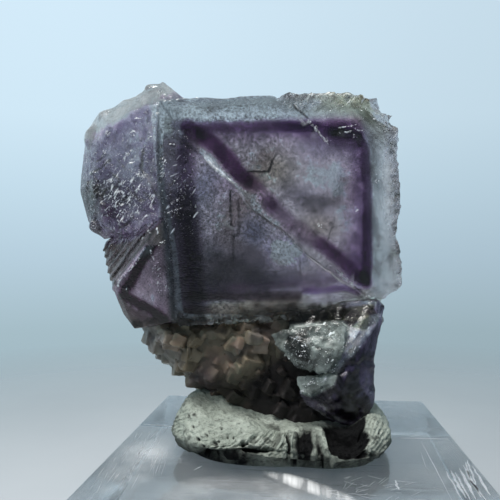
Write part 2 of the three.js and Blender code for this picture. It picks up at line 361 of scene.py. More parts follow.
def decimate(ob, most):
    tris = sum(len(p.vertices) - 2 for p in ob.data.polygons)
    if tris <= most:
        return
    mod = ob.modifiers.new("thin", "DECIMATE")
    mod.ratio = most / tris
    dg = bpy.context.evaluated_depsgraph_get()
    me = bpy.data.meshes.new_from_object(ob.evaluated_get(dg))
    ob.modifiers.clear()
    old = ob.data
    ob.data = me
    bpy.data.meshes.remove(old)


def verts_mm(ob):
    co = np.zeros(len(ob.data.vertices) * 3, F32)
    ob.data.vertices.foreach_get("co", co)
    return co.reshape(-1, 3) / F32(MM)


def normals(ob):
    co = np.zeros(len(ob.data.vertices) * 3, F32)
    ob.data.vertices.foreach_get("normal", co)
    return co.reshape(-1, 3)


def finish_piece(ob, mat, node):
    ob.data.materials.clear()
    ob.data.materials.append(mat)
    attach(ob, "root")
    if node:
        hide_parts(node)
    return ob


# =====================================================================
# node helpers
# =====================================================================
class Mat:
    def __init__(self, name):
        self.m = bpy.data.materials.new(name)
        self.m.use_nodes = True
        self.t = self.m.node_tree
        self.t.nodes.clear()
        self.out = self.t.nodes.new("ShaderNodeOutputMaterial")

    def n(self, kind, **props):
        node = self.t.nodes.new("ShaderNode" + kind)
        for k, v in props.items():
            setattr(node, k, v)
        return node

    def l(self, a, b):
        self.t.links.new(a, b)

    def set(self, node, **values):
        for k, v in values.items():
            node.inputs[k.replace("_", " ")].default_value = v
        return node

    def coords(self):
        return self.n("TexCoord").outputs["Object"]

    def noise(self, scale, detail=4, rough=0.55, co=None, distort=0.0):
        x = self.n("TexNoise")
        self.set(x, Scale=scale, Detail=detail, Roughness=rough, Distortion=distort)
        self.l(co if co is not None else self.coords(), x.inputs["Vector"])
        return x.outputs["Fac"]

    def voronoi(self, scale, feature="F1", out="Distance", co=None):
        x = self.n("TexVoronoi", feature=feature)
        self.set(x, Scale=scale)
        self.l(co if co is not None else self.coords(), x.inputs["Vector"])
        return x.outputs[out]

    def ramp(self, fac, stops):
        r = self.n("ValToRGB")
        el = r.color_ramp.elements
        while len(el) > 1:
            el.remove(el[-1])
        el[0].position = stops[0][0]
        el[0].color = (*stops[0][1], 1)
        for pos, col in stops[1:]:
            e = el.new(pos)
            e.color = (*col, 1)
        self.l(fac, r.inputs["Fac"])
        return r.outputs["Color"]

    def math(self, op, a, b=None, clamp=False):
        x = self.n("Math", operation=op, use_clamp=clamp)
        for i, v in enumerate((a, b)):
            if v is None:
                continue
            if isinstance(v, (int, float)):
                x.inputs[i].default_value = v
            else:
                self.l(v, x.inputs[i])
        return x.outputs[0]

    def mix(self, fac, a, b, blend="MIX"):
        x = self.n("Mix", data_type="RGBA", blend_type=blend)
        for s, v in ((x.inputs["Factor"], fac), (x.inputs["A"], a), (x.inputs["B"], b)):
            pass
        ins = {i.name + i.type: i for i in x.inputs}
        f = [i for i in x.inputs if i.name == "Factor" and i.type == "VALUE"][0]
        ca = [i for i in x.inputs if i.name == "A" and i.type == "RGBA"][0]
        cb = [i for i in x.inputs if i.name == "B" and i.type == "RGBA"][0]
        for s, v in ((f, fac), (ca, a), (cb, b)):
            if isinstance(v, (int, float)):
                s.default_value = v
            elif isinstance(v, tuple):
                s.default_value = (*v, 1) if len(v) == 3 else v
            else:
                self.l(v, s)
        return [o for o in x.outputs if o.type == "RGBA"][0]

    def attr(self, name):
        return self.n("Attribute", attribute_name=name).outputs["Fac"]

    def map(self, v, a, b, c, d, clamp=True):
        x = self.n("MapRange", clamp=clamp)
        self.set(x, From_Min=a, From_Max=b, To_Min=c, To_Max=d)
        self.l(v, x.inputs["Value"])
        return x.outputs["Result"]

    def bump(self, height, strength, distance, normal=None):
        x = self.n("Bump")
        self.set(x, Strength=strength, Distance=distance)
        self.l(height, x.inputs["Height"])
        if normal is not None:
            self.l(normal, x.inputs["Normal"])
        return x.outputs["Normal"]

    def times(self, color, value):
        x = self.n("Mix", data_type="RGBA", blend_type="MULTIPLY")
        x.inputs["Factor"].default_value = 1.0
        ins = [i for i in x.inputs if i.type == "RGBA"]
        self.l(color, ins[0])
        self.l(value, ins[1])
        return [o for o in x.outputs if o.type == "RGBA"][0]

    def principled(self, **values):
        x = self.n("BsdfPrincipled")
        for k, v in values.items():
            key = k.replace("_", " ")
            if isinstance(v, (int, float)):
                x.inputs[key].default_value = v
            elif isinstance(v, tuple):
                x.inputs[key].default_value = (*v, 1) if len(v) == 3 and x.inputs[key].type == "RGBA" else v
            else:
                self.l(v, x.inputs[key])
        self.l(x.outputs["BSDF"], self.out.inputs["Surface"])
        return x

    def absorb(self, color, density):
        x = self.n("VolumeAbsorption")
        x.inputs["Color"].default_value = (*color, 1)
        x.inputs["Density"].default_value = density
        self.l(x.outputs["Volume"], self.out.inputs["Volume"])


def absorption(per_m):
    """colour and density of a Volume Absorption node for coefficients in 1/m."""
    d = max(per_m) / 0.95
    return tuple(1 - s / d for s in per_m), d


# =====================================================================
# outlines
# =====================================================================
MAIN_OUT = [
    (-15.08, 13.48), (-13.67, 13.47), (-12.23, 13.6), (-11.29, 13.51), (-9.47, 13.61), (-7.41, 13.56),
    (-5.19, 13.62), (-3.21, 13.49), (-1.2, 13.55), (-0.71, 13.33), (-0.42, 12.95), (0.06, 13.35),
    (0.47, 13.75), (1.12, 13.93), (1.76, 14.02), (2.77, 13.76), (3.81, 13.8), (4.96, 13.54),
    (6.26, 13.52), (7.57, 13.34), (8.37, 13.5), (9.17, 13.51), (9.81, 13.16), (10.61, 13.08),
    (11.26, 12.64), (11.78, 12.4), (12.29, 11.9), (12.8, 11.31), (13.18, 10.73), (13.85, 10.57),
    (14.52, 10.23), (14.62, 9.64), (14.94, 9.05), (15.19, 8.47), (15.21, 7.96), (15.27, 6.81),
    (15.09, 5.54), (15.15, 4.12), (14.96, 2.71), (15.09, 1.41), (14.92, 0.38), (14.98, -1.06),
    (14.81, -2.22), (14.49, -2.85), (14.32, -3.49), (14.33, -4.41), (14.09, -5.05), (14.39, -5.87),
    (14.51, -6.81), (14.72, -7.63), (14.74, -8.7), (15.01, -9.53), (14.87, -10.59), (14.96, -11.54),
    (14.62, -12.31), (13.97, -12.58), (13.11, -12.76), (12.37, -13.27), (11.48, -14.05), (10.47, -14.47),
    (9.47, -14.82), (7.67, -14.77), (5.61, -14.77), (3.98, -14.65), (2.62, -14.65), (0.74, -14.71),
    (-1.0, -14.77), (-2.97, -14.61), (-4.92, -14.55), (-8.01, -14.43), (-11.05, -14.32), (-13.04, -14.07),
    (-15.14, -14.0), (-15.23, -12.29), (-15.31, -10.52), (-15.26, -8.03), (-15.31, -5.3), (-15.54, -2.57),
    (-15.78, 0.0), (-15.99, 1.47), (-16.08, 3.04), (-15.92, 5.42), (-15.87, 7.78), (-15.69, 9.66),
    (-15.39, 11.52),
]
STEP_LINE = [
    (-15.2, 14.0), (-14.55, 12.87), (-13.64, 11.3), (-12.2, 8.74), (-11.01, 7.23), (-10.18, 6.28),
    (-9.0, 5.05), (-7.74, 3.8), (-6.6, 2.55), (-5.93, 1.58), (-5.62, 0.75), (-5.18, -0.03),
    (-4.34, -0.73), (-3.5, -1.42), (-2.54, -2.26), (-1.43, -2.99), (-0.71, -3.82), (-0.11, -4.51),
    (0.86, -5.63), (1.84, -6.75), (3.22, -7.93), (3.98, -8.65), (4.75, -9.13), (5.51, -9.99),
    (6.16, -10.46), (7.08, -11.08), (7.87, -11.57), (9.45, -12.94), (10.3, -15.0),
]


def seg_dist(px, py, pts, closed):
    pts = np.array(pts, F32)
    n = len(pts)
    best = np.full(px.shape, 9e9, F32)
    inside = np.zeros(px.shape, bool)
    last = n if closed else n - 1
    for i in range(last):
        a, b = pts[i], pts[(i + 1) % n]
        e = b - a
        t = np.clip(((px - a[0]) * e[0] + (py - a[1]) * e[1]) / (e @ e), 0, 1)
        dx, dy = px - a[0] - t * e[0], py - a[1] - t * e[1]
        best = np.minimum(best, dx * dx + dy * dy)
        if closed:
            cross = (a[1] > py) != (b[1] > py)
            with np.errstate(divide="ignore", invalid="ignore"):
                xi = a[0] + (py - a[1]) * e[0] / (e[1] if abs(e[1]) > 1e-9 else 1e-9)
            inside ^= cross & (px < xi)
    return np.sqrt(best), inside


class Map2:
    """A distance drawn once on a fine (u, v) grid and read back smoothly."""

    def __init__(self, fn, lo=-19.0, hi=19.0, step=0.08):
        self.lo, self.step = lo, step
        ax = np.arange(lo, hi, step, dtype=F32)
        u, v = np.meshgrid(ax, ax, indexing="ij")
        self.g = fn(u, v).astype(F32)

    def __call__(self, u, v):
        n = self.g.shape[0] - 2
        a = np.clip((u - self.lo) / self.step, 0, n)
        b = np.clip((v - self.lo) / self.step, 0, n)
        i, j = a.astype(np.int32), b.astype(np.int32)
        fa, fb = a - i, b - j
        g = self.g
        return (g[i, j] * (1 - fa) + g[i + 1, j] * fa) * (1 - fb) + (g[i, j + 1] * (1 - fa) + g[i + 1, j + 1] * fa) * fb


def _outline(u, v):
    d, inside = seg_dist(u, v, MAIN_OUT, True)
    return np.where(inside, -d, d)


def _step(u, v):
    d, _ = seg_dist(u, v, STEP_LINE, False)
    ring = STEP_LINE + [(10.3, -30.0), (-30.0, -30.0), (-30.0, 14.0)]
    _, inside = seg_dist(u, v, ring, True)
    return np.where(inside, -d, d)


OUT2 = Map2(_outline)
STEP2 = Map2(_step)

# corner points of the lesser crystals and the matrix lumps (mm)
LEFT_CUBE = [
    [-17.2, -8.6, 68.1], [-20.3, -7.8, 67.3], [-23.3, -6.6, 66.0], [-25.0, -6.0, 63.0], [-25.8, -5.6, 59.1],
    [-25.3, -5.6, 55.7], [-23.6, -5.8, 52.8], [-20.2, -7.4, 52.0], [-15.7, -9.2, 54.0], [-12.5, -10.2, 55.4],
    [-11.7, -10.4, 56.8], [-12.0, -10.0, 62.0], [-15.0, -9.2, 67.9], [-16.6, -4.5, 72.2], [-17.7, -4.5, 71.7],
    [-19.3, -4.5, 71.0], [-23.3, -3.5, 69.5], [-26.8, -2.5, 67.9], [-28.1, -2.0, 66.1], [-28.3, -2.0, 63.0],
    [-29.1, -1.5, 60.0], [-29.2, -1.5, 58.2], [-28.7, -1.5, 56.5], [-28.0, -1.5, 53.9], [-25.5, -2.0, 51.4],
    [-20.1, -3.0, 52.1], [-11.7, -4.0, 56.2], [-11.7, -4.0, 68.2], [-13.9, -4.5, 69.7],
    [-18.2, 6.0, 72.6], [-26.3, 5.5, 68.4], [-27.6, 5.5, 62.0], [-26.6, 5.5, 55.6], [-23.6, 6.0, 53.0],
    [-12.3, 7.0, 57.4], [-12.3, 7.0, 69.8],
]
LOWER_LEFT_CUBE = [
    [-22.2, -6.8, 45.5], [-16.2, -9.6, 52.1], [-12.5, -10.2, 55.1], [-16.4, -9.8, 49.8], [-13.6, -9.3, 44.9],
    [-13.7, -8.9, 41.0], [-15.0, -8.2, 40.9], [-20.4, -6.8, 51.6], [-25.0, -3.0, 51.1], [-25.2, -3.0, 49.8],
    [-23.9, -4.2, 47.5], [-23.5, -5.3, 46.4], [-22.8, -5.4, 44.2], [-21.8, -4.9, 41.5], [-20.0, -5.8, 39.6],
    [-24.6, 4.0, 50.6], [-24.0, 4.5, 46.3], [-22.6, 5.0, 42.2], [-19.3, 5.0, 39.6], [-12.4, 5.5, 39.2],
    [-12.6, 6.0, 54.3],
]
MATRIX_LEFT = [
    [-19.6, -4.6, 41.1], [-16.3, -6.8, 39.6], [-10.4, -7.3, 39.8], [-4.7, -7.3, 40.1], [-3.2, -7.0, 37.9],
    [-4.2, -6.2, 34.4], [-7.2, -5.6, 31.7], [-10.6, -5.2, 31.6], [-13.4, -4.6, 33.4], [-16.3, -3.8, 35.0],
    [-18.4, -3.4, 37.0], [-22.5, -1.0, 41.3], [-21.4, -1.0, 39.0], [-19.5, -1.0, 36.2], [-17.0, -1.0, 33.5],
    [-13.9, -1.0, 31.8], [-11.2, -1.0, 29.6], [-3.7, -1.0, 29.0], [-0.5, -1.0, 40.7],
    [-19.4, 5.5, 40.1], [-17.8, 6.0, 36.0], [-13.6, 6.5, 32.2], [-10.3, 6.5, 29.9], [-3.8, 6.5, 29.0],
    [-1.5, 6.5, 40.3],
]
MATRIX_MIDDLE = [
    [-8.0, -6.2, 39.6], [-0.8, -6.2, 40.0], [1.5, -5.2, 36.8], [3.0, -4.4, 31.6], [5.4, -3.4, 28.8],
    [1.5, -3.6, 27.4], [-3.5, -3.8, 28.3], [-7.9, -3.8, 29.9], [-11.1, -3.4, 31.0], [-12.0, 2.0, 34.3],
    [-10.6, 2.0, 29.2], [-4.2, 2.0, 26.6], [4.2, 2.0, 26.2], [7.7, 2.0, 29.1], [5.6, 2.0, 40.2],
    [-11.6, 7.4, 37.6], [-9.6, 7.0, 31.2], [-4.0, 6.6, 27.4], [3.4, 6.4, 27.2], [6.5, 7.0, 30.6],
    [6.7, 8.5, 39.4], [-8.0, -4.8, 40.9], [4.0, -3.2, 41.7], [8.0, 7.0, 43.5], [-8.0, 7.5, 42.0],
]
RIGHT_FACET = [
    [5.2, -7.2, 34.8], [6.8, -7.0, 36.1], [8.8, -5.6, 39.3], [11.0, -4.0, 41.0], [12.4, -2.8, 42.6],
    [12.1, -3.2, 40.9], [11.2, -4.2, 39.5], [10.7, -4.8, 38.1], [11.0, -4.6, 36.6], [10.7, -4.8, 35.4],
    [9.0, -6.2, 36.0], [6.7, -7.0, 34.1], [0.0, -5.0, 40.6], [0.5, -5.4, 36.8], [7.0, -3.8, 41.3],
    [6.0, -3.7, 43.0], [11.6, -3.1, 43.4], [11.6, 6.0, 43.4], [11.2, 5.5, 39.4], [9.6, 5.5, 35.5],
    [5.8, 5.5, 33.4], [1.0, 5.5, 37.0], [-0.5, 6.0, 42.6],
]
RIGHT_CHIP = [
    [-2.1, -6.2, 39.1], [-0.5, -6.6, 39.7], [2.7, -7.0, 40.3], [6.7, -6.4, 40.6], [7.4, -6.3, 40.0],
    [7.1, -7.2, 38.4], [6.3, -7.8, 36.8], [4.9, -7.8, 34.8], [3.8, -7.8, 34.5], [1.3, -7.6, 35.1],
    [-0.4, -7.2, 36.6], [-2.0, -6.6, 38.2], [2.7, -8.2, 37.9], [4.9, -8.3, 37.1], [0.0, -3.0, 39.5],
    [6.5, -3.0, 40.0], [4.5, -3.5, 35.5], [1.5, -3.5, 36.0],
]
RIGHT_CHIP_LOW = [
    [1.1, -6.6, 34.0], [2.7, -7.0, 34.3], [4.4, -7.2, 34.2], [5.4, -7.0, 34.2], [5.2, -7.2, 33.5],
    [3.8, -7.4, 32.7], [2.7, -7.2, 32.0], [1.6, -6.9, 32.2], [1.1, -6.6, 33.0], [1.8, -4.5, 33.6],
    [5.0, -4.5, 33.8], [3.5, -4.8, 32.4],
]
RIGHT_BODY = [
    [1.5, -6.2, 31.8], [2.3, -6.4, 30.5], [3.8, -6.6, 29.8], [5.3, -6.4, 28.9], [6.9, -5.8, 28.0],
    [8.5, -5.2, 27.5], [9.7, -4.6, 28.0], [10.9, -4.0, 30.0], [11.0, -4.2, 32.4], [10.8, -4.4, 34.2],
    [11.1, -4.6, 36.6], [5.2, -7.2, 34.1], [7.2, -7.4, 34.7], [3.8, -6.8, 32.3], [6.6, -7.2, 30.2],
    [10.4, 4.6, 34.8], [10.3, 4.4, 31.2], [8.8, 4.2, 28.4], [6.9, 4.0, 27.0], [2.9, 5.0, 27.2],
    [1.4, 5.5, 32.4], [9.6, 5.5, 36.5], [4.0, 5.0, 37.0],
]
# the bright lavender band of the lower right crystal, as it is seen: x, z
LAV_FACET = [(7.17, 39.91), (9.11, 41.33), (11.05, 41.91), (10.21, 40.22), (8.83, 38.25), (6.6, 35.97), (5.49, 34.55), (5.21, 34.82),
             (6.61, 37.09), (7.72, 39.35)]
FOOT = [
    [-9.6, -4.0, 31.6], [-3.5, -4.2, 29.4], [1.5, -4.2, 28.4], [6.6, -4.6, 28.6], [8.6, -3.6, 29.4],
    [-7.6, -3.4, 27.2], [-3.4, -3.8, 25.9], [2.6, -3.8, 25.7], [6.6, -3.4, 26.1], [8.0, 2.4, 26.2],
    [2.4, 4.4, 25.7], [-4.6, 4.4, 26.0], [-8.8, 1.6, 27.2], [9.4, 3.0, 30.5], [3.0, 6.6, 31.4],
    [-8.2, 6.4, 31.8], [-10.8, 1.6, 32.2],
]

# =====================================================================
# painting helpers: optical density of thin coloured zones
# =====================================================================
EYE = np.array([1.865, -75.77, 48.732])  # the side that the specimen is shown from


def seen(p):
    """Where a point stands in the plane y = -8 for somebody at EYE."""
    t = (-8.0 - EYE[1]) / (p[:, 1] - EYE[1])
    return (EYE[0] + (p[:, 0] - EYE[0]) * t).astype(F32), (EYE[2] + (p[:, 2] - EYE[2]) * t).astype(F32)


PURPLE = np.array([0.70, 1.0, 0.56], F32)
MAGENTA = np.array([0.66, 1.0, 0.70], F32)
NEUTRAL = np.array([1.0, 1.0, 0.95], F32)
BEIGE = np.array([0.0, 0.05, 0.35], F32)
OLIVE = np.array([0.74, 0.74, 0.92], F32)
BLUE = np.array([1.0, 0.85, 0.60], F32)
VIOLET = np.array([0.80, 1.0, 0.66], F32)


def line_d(u, v, pts):
    d, _ = seg_dist(u, v, pts, False)
    return d


def tube(u, v, pts, half, soft):
    return 1 - smooth(half, half + soft, line_d(u, v, pts))


def blob(u, v, u0, v0, ru, rv, deg=0.0):
    a = math.radians(deg)
    x, y = (u - u0) * math.cos(a) + (v - v0) * math.sin(a), -(u - u0) * math.sin(a) + (v - v0) * math.cos(a)
    return np.exp(-((x / ru) ** 2 + (y / rv) ** 2))


def area_in(x, z, pts, soft):
    """1 inside the closed outline pts, 0 soft outside it."""
    d, inside = seg_dist(x, z, pts, True)
    return np.where(inside, 1.0, 1 - smooth(0, soft, d)).astype(F32)


def skin(p, on_left, on_ll, on_rt, on_rb, in_main, l):
    """Optical density of the outermost zone, and the glint mask, at points of the surface: the glint mask marks broken,
    rougher surface and where painted glints go.
    """
    x, z = seen(p)
    n1, n2, n3 = fbm(NA, p, 2.4, 4), fbm(NB, p, 0.9, 4), fbm(NC, p, 0.42, 2)
    wx, wz = x + 0.22 * n2, z + 0.22 * fbm(NC, p, 0.9, 3)
    od = np.zeros((len(p), 3), F32)
    glint = np.zeros(len(p), F32)
    f = smooth(0.5, -2.5, p[:, 1])

    def add(k, vec):
        nonlocal od
        od += np.asarray(k, F32)[:, None] * vec

    # --- left crystal ------------------------------------------------
    band = 0.47 * (x + 16.6) + 0.883 * (72.2 - z) + 0.45 * n2
    g = on_left * f
    low = smooth(2.4, 4.0, band)
    add(g * (1 - low) * (-0.32 + 0.22 * n2 + 0.10 * n3), np.array([1.0, 0.70, 0.92], F32))
    add(g * low * (0.34 + 0.45 * n1 + 0.50 * n2 + 0.45 * n3), np.array([0.86, 1.08, 0.78], F32))
    add(g * 0.50 * blob(wx, wz, -20.99, 65.44, 2.57, 0.899, 24), PURPLE)
    add(g * 0.40 * blob(wx, wz, -18.39, 67.11, 1.93, 0.557, 25), PURPLE)
    add(g * 0.28 * blob(wx, wz, -23.37, 63.61, 1.28, 1.28), PURPLE)
    add(-g * 0.30 * blob(wx, wz, -18.38, 64.28, 1.03, 1.61), NEUTRAL)
    add(g * 0.32 * blob(wx, wz, -17.13, 59.63, 0.899, 2.57), OLIVE)
    add(g * (0.95 * blob(wx, wz, -24.48, 57.3, 1.61, 0.899, 20) + 0.95 * blob(wx, wz, -24.93, 55.2, 0.942, 1.28)
        + 0.50 * blob(wx, wz, -25.86, 56.54, 0.557, 0.856) + 0.35 * blob(wx, wz, -23.2, 57.0, 3.6, 3.2)), OLIVE * 1.1)
    add(g * 1.9 * blob(wx, wz, -22.65, 54.67, 0.985, 0.985), MAGENTA)
    add(g * (0.85 * blob(wx, wz, -21.75, 56.61, 1.33, 0.642, 10) + 0.60 * blob(wx, wz, -20.27, 56.04, 1.2, 0.728)
        + 0.55 * blob(wx, wz, -21.75, 57.93, 1.11, 0.514, 20) + 0.45 * blob(wx, wz, -23.01, 58.83, 1.28, 0.428, 35)
        + 0.55 * blob(wx, wz, -19.15, 58.78, 0.856, 0.471, 15)), NEUTRAL)
    add(g * (0.65 * blob(wx, wz, -22.18, 52.08, 2.03, 0.599, -4) + 0.5 * blob(wx, wz, -23.89, 51.65, 0.856, 0.471)), MAGENTA)
    add(-g * (0.25 * blob(wx, wz, -19.13, 52.79, 2.03, 0.728, 12) + 0.25 * blob(wx, wz, -16.79, 55.24, 0.899, 0.771)), NEUTRAL)
    cracks = np.zeros(len(p), F32)
    for pts, half, k in (
        ([(-18.15, 62.62), (-18.31, 61.63), (-18.48, 60.42)], 0.07, 0.9), ([(-18.53, 60.31), (-18.3, 59.69), (-17.99, 59.51)], 0.05, 0.8), ([(-17.13, 57.87), (-16.5, 56.77), (-15.96, 56.06)], 0.07, 0.9),
        ([(-18.07, 57.09), (-17.35, 56.47), (-16.72, 55.63)], 0.06, 0.8), ([(-16.29, 62.26), (-16.11, 60.82), (-16.19, 58.96), (-16.08, 57.42)], 0.10, 0.7), ([(-19.6, 57.99), (-19.01, 56.8)], 0.05, 0.7),
        ([(-20.28, 57.74), (-19.49, 56.58)], 0.05, 0.6), ([(-25.02, 59.62), (-23.7, 60.35), (-22.45, 61.26)], 0.06, 1.0), ([(-25.75, 57.98), (-24.94, 57.35), (-23.92, 57.96)], 0.07, 0.9),
        ([(-23.68, 56.63), (-22.77, 57.46), (-21.64, 57.93)], 0.06, 0.8), ([(-25.74, 55.76), (-24.82, 56.64)], 0.07, 0.8), ([(-22.44, 59.71), (-21.42, 58.81), (-21.14, 57.92)], 0.05, 0.6),
        ([(-19.59, 53.94), (-20.26, 53.06), (-21.39, 52.63)], 0.06, 0.7), ([(-24.39, 61.07), (-23.48, 61.72)], 0.05, 0.6), ([(-21.42, 61.02), (-20.51, 60.12)], 0.05, 0.45),
        ([(-19.26, 56.8), (-18.65, 56.13), (-18.13, 56.24)], 0.05, 0.7), ([(-21.86, 55.28), (-21.13, 55.94), (-20.28, 56.59)], 0.05, 0.8), ([(-26.44, 58.66), (-25.52, 58.31), (-24.61, 58.74)], 0.05, 0.7),
    ):
        cracks = np.maximum(cracks, k * tube(wx, wz, pts, half, 0.16))
    add(g * 1.25 * cracks, OLIVE)
    add(g * smooth(59.0, 55.0, z) * (0.38 + 0.4 * n1), np.array([0.8, 1.05, 0.85], F32))
    glint = np.maximum(glint, g * low * (0.45 + 0.5 * blob(x, z, -20.95, 56.6, 4.92, 3.64)))
    glint = np.maximum(glint, g * 0.9 * np.clip(
        blob(x, z, -22.85, 64.6, 0.899, 0.514, 40) + blob(x, z, -19.29, 64.63, 1.11, 0.642) + blob(x, z, -23.36, 62.17, 0.557, 0.771)
        + blob(x, z, -19.89, 61.55, 0.899, 1.11) + blob(x, z, -18.3, 59.1, 1.07, 1.11) + blob(x, z, -16.9, 55.13, 0.985, 0.728)
        + blob(x, z, -20.95, 54.39, 1.5, 0.856, 30) + blob(x, z, -18.91, 54.37, 0.856, 1.07, 50), 0, 1))
    # --- lower left crystal -------------------------------------------
    g = on_ll * f
    up = area_in(wx, wz, [(-24.1, 52.2), (-16.46, 53.89), (-15.22, 51.12), (-16.1, 50.52), (-17.86, 50.53), (-19.62, 48.37), (-21.74, 45.42), (-23.35, 45.94)], 0.25)
    across = (p - RIDGE_A.astype(F32)) @ ACROSS
    add(g * up * (0.85 + 0.35 * np.sin(across * 7.5 + 1.8 * n1) + 0.25 * n1), OLIVE)
    # pale: a lighter strip along the ridge, a painted highlight on the ridge's edge
    pale = area_in(x, z, [(-21.75, 46.2), (-17.89, 50.58), (-17.54, 50.16), (-21.35, 45.6)], 0.12)
    add(-g * 0.62 * pale, OLIVE)
    for pts, half, k in (([(-20.23, 51.21), (-21.4, 49.58), (-22.18, 48.28)], 0.08, 0.7), ([(-18.78, 50.86), (-20.24, 49.06), (-21.78, 46.77)], 0.10, 0.8), ([(-17.33, 52.34), (-18.57, 51.13), (-19.45, 50.1)], 0.07, 0.6),
                         ([(-16.84, 52.68), (-17.33, 51.65), (-17.42, 50.78)], 0.10, 0.8), ([(-21.42, 45.34), (-19.97, 47.16), (-18.56, 48.46)], 0.05, 0.5)):
        add(g * k * tube(x, z, pts, half, 0.13), NEUTRAL)
    dn = 1 - up
    v1 = tube(wx, wz, [(-16.89, 50.7), (-17.5, 49.71), (-18.29, 48.37), (-19.15, 46.81), (-19.88, 45.6), (-20.41, 44.82)], 0.438, 0.438)
    v2 = tube(wx, wz, [(-20.85, 44.13), (-19.87, 43.7), (-18.89, 43.11), (-17.31, 42.35), (-16.07, 41.59), (-14.93, 40.66)], 0.36, 0.42)
    v3 = blob(wx, wz, -20.58, 44.13, 0.674, 0.573, -20)
    add(g * dn * 4.4 * np.maximum(np.maximum(v1, v2), v3), MAGENTA * np.array([1.05, 1, 1.1], F32))
    add(g * dn * (0.58 + 0.45 * n1 + 0.30 * n3), np.array([0.9, 1.05, 1.0], F32))
    add(g * 0.22, np.array([0.1, 0.9, 0.9], F32))
    add(-g * dn * (0.55 * blob(wx, wz, -18.63, 44.57, 1.01, 0.877) + 0.50 * blob(wx, wz, -17.23, 45.7, 0.809, 0.877) + 0.55 * blob(wx, wz, -16.87, 43.81, 0.775, 0.809)
        + 0.22 * blob(wx, wz, -15.9, 42.36, 0.927, 0.775, -30)), NEUTRAL)
    add(g * dn * 0.35 * blob(wx, wz, -15.9, 42.36, 1.01, 0.843, -30), MAGENTA)
    add(g * 0.75 * blob(wx, wz, -15.49, 51.98, 1.18, 1.69), OLIVE)
    add(g * 1.25 * area_in(wx, wz, [(-21.2, 43.87), (-19.96, 42.5), (-18.18, 41.65), (-15.19, 40.14), (-14.49, 38.78), (-19.06, 38.72), (-21.2, 42.14)], 0.4), OLIVE)
    add(g * 0.9 * blob(wx, wz, -18.54, 41.56, 1.85, 0.438, -28), MAGENTA)
    frosty = area_in(wx, wz, [(-17.42, 50.09), (-15.22, 50.69), (-14.51, 48.54), (-13.98, 44.6), (-14.5, 42.89), (-16.08, 44.59), (-16.61, 46.99)], 0.5)
    add(g * frosty * (0.15 + 0.5 * n3), NEUTRAL)
    glint = np.maximum(glint, g * 0.55 * frosty)
    for pts in ([(-21.48, 45.6), (-19.97, 47.24), (-18.56, 48.75)], [(-17.33, 49.92), (-16.83, 48.54), (-16.9, 47.17)], [(-16.1, 51.64), (-16.72, 53.2), (-18.21, 51.39)], [(-21.6, 45.34), (-20.76, 45.05), (-20.05, 44.7)]):
        glint = np.maximum(glint, g * tube(x, z, pts, 0.07, 0.10))
    # --- lower right pieces ---------------------------------------------
    g = on_rt * f
    add(g * (0.42 + 0.40 * n2 + 0.3 * n3), np.array([0.98, 0.84, 0.92], F32))
    add(-g * 0.55 * smooth(34.9, 34.4, z), NEUTRAL)
    add(g * 0.20 * area_in(wx, wz, [(-2.27, 39.65), (0.15, 39.39), (0.43, 38.07), (2.69, 37.03), (3.81, 35.92), (2.69, 35.34), (1, 35.53), (-0.7, 36.83), (-2.07, 38.43)], 0.3), NEUTRAL)
    add(-g * 0.3 * area_in(wx, wz, [(2.7, 40.42), (6.75, 40.58), (6.61, 38.78), (4.93, 35.66), (3.53, 34.93), (3.81, 37.05), (2.27, 38.15)], 0.3), NEUTRAL)
    add(g * 1.15 * area_in(wx, wz, [(0.15, 39.25), (1.85, 39.42), (2.69, 37.59), (2.41, 36.18), (1.0, 36.72), (-0.13, 37.83)], 0.35) * (1 + 0.6 * n3), NEUTRAL)
    for pts, half, k in (([(2.27, 39.7), (2.69, 38.44), (4.37, 37.48), (5.21, 37.58)], 0.10, 0.8), ([(0.43, 38.07), (1.56, 37.01), (2.69, 36.18)], 0.12, 0.9), ([(3.81, 37.05), (3.11, 35.91), (2.97, 34.83)], 0.08, 0.6)):
        add(g * k * tube(wx, wz, pts, half, 0.18), NEUTRAL)
    glint = np.maximum(glint, g * (0.25 + 0.55 * np.clip(blob(x, z, 1.57, 38.42, 1.71, 0.97) + blob(x, z, 4.38, 39.73, 2.14, 0.742) + blob(x, z, 1.28, 36.44, 1.43, 1.26), 0, 1)))
    g = on_rb * f
    add(g * (1.08 + 0.75 * n1 + 0.60 * n2 + 0.40 * n3), np.array([1.02, 1.10, 0.88], F32))
    facet = area_in(wx, wz, LAV_FACET, 0.40)
    smoke = blob(wx, wz, 7.25, 34.9, 1.1, 1.7, 10)
    add(-g * (1.05 + 0.3 * n2) * facet, np.array([0.92, 1.08, 0.88], F32))
    add(-g * 0.55 * blob(wx, wz, 8.75, 38.15, 1.7, 1.6), NEUTRAL)
    add(-g * 0.80 * area_in(wx, wz, [(3.80, 32.12), (5.20, 31.17), (6.59, 30.51), (9.35, 30.22), (8.52, 28.80), (6.31, 29.10), (4.64, 30.32)], 0.30), NEUTRAL)
    add(-g * 0.45 * smoke, NEUTRAL)
    glint = np.maximum(glint, g * facet * 0.45)
    # painted highlight: less density along the lower left edge of the lower right crystal, for the light that edge
    # catches
    rim_highlight = tube(x, z, [(1.27, 32.2), (2.68, 31.11), (4.36, 30.31), (6.59, 28.97)], 0.25, 0.5)
    add(-g * 0.80 * rim_highlight, NEUTRAL)
    add(g * 0.8 * blob(wx, wz, 10.6, 41.2, 0.7, 1.6), MAGENTA)
    add(g * 1.6 * area_in(wx, wz, [(7.3, 33.4), (8.5, 33.6), (9.6, 32.0), (9.2, 31.0), (7.9, 31.4)], 0.25), NEUTRAL)
    add(-g * 0.45 * area_in(wx, wz, [(2.26, 32.45), (4.92, 32.71), (6.73, 31.49), (6.31, 30.22), (3.8, 30.86)], 0.3), NEUTRAL)
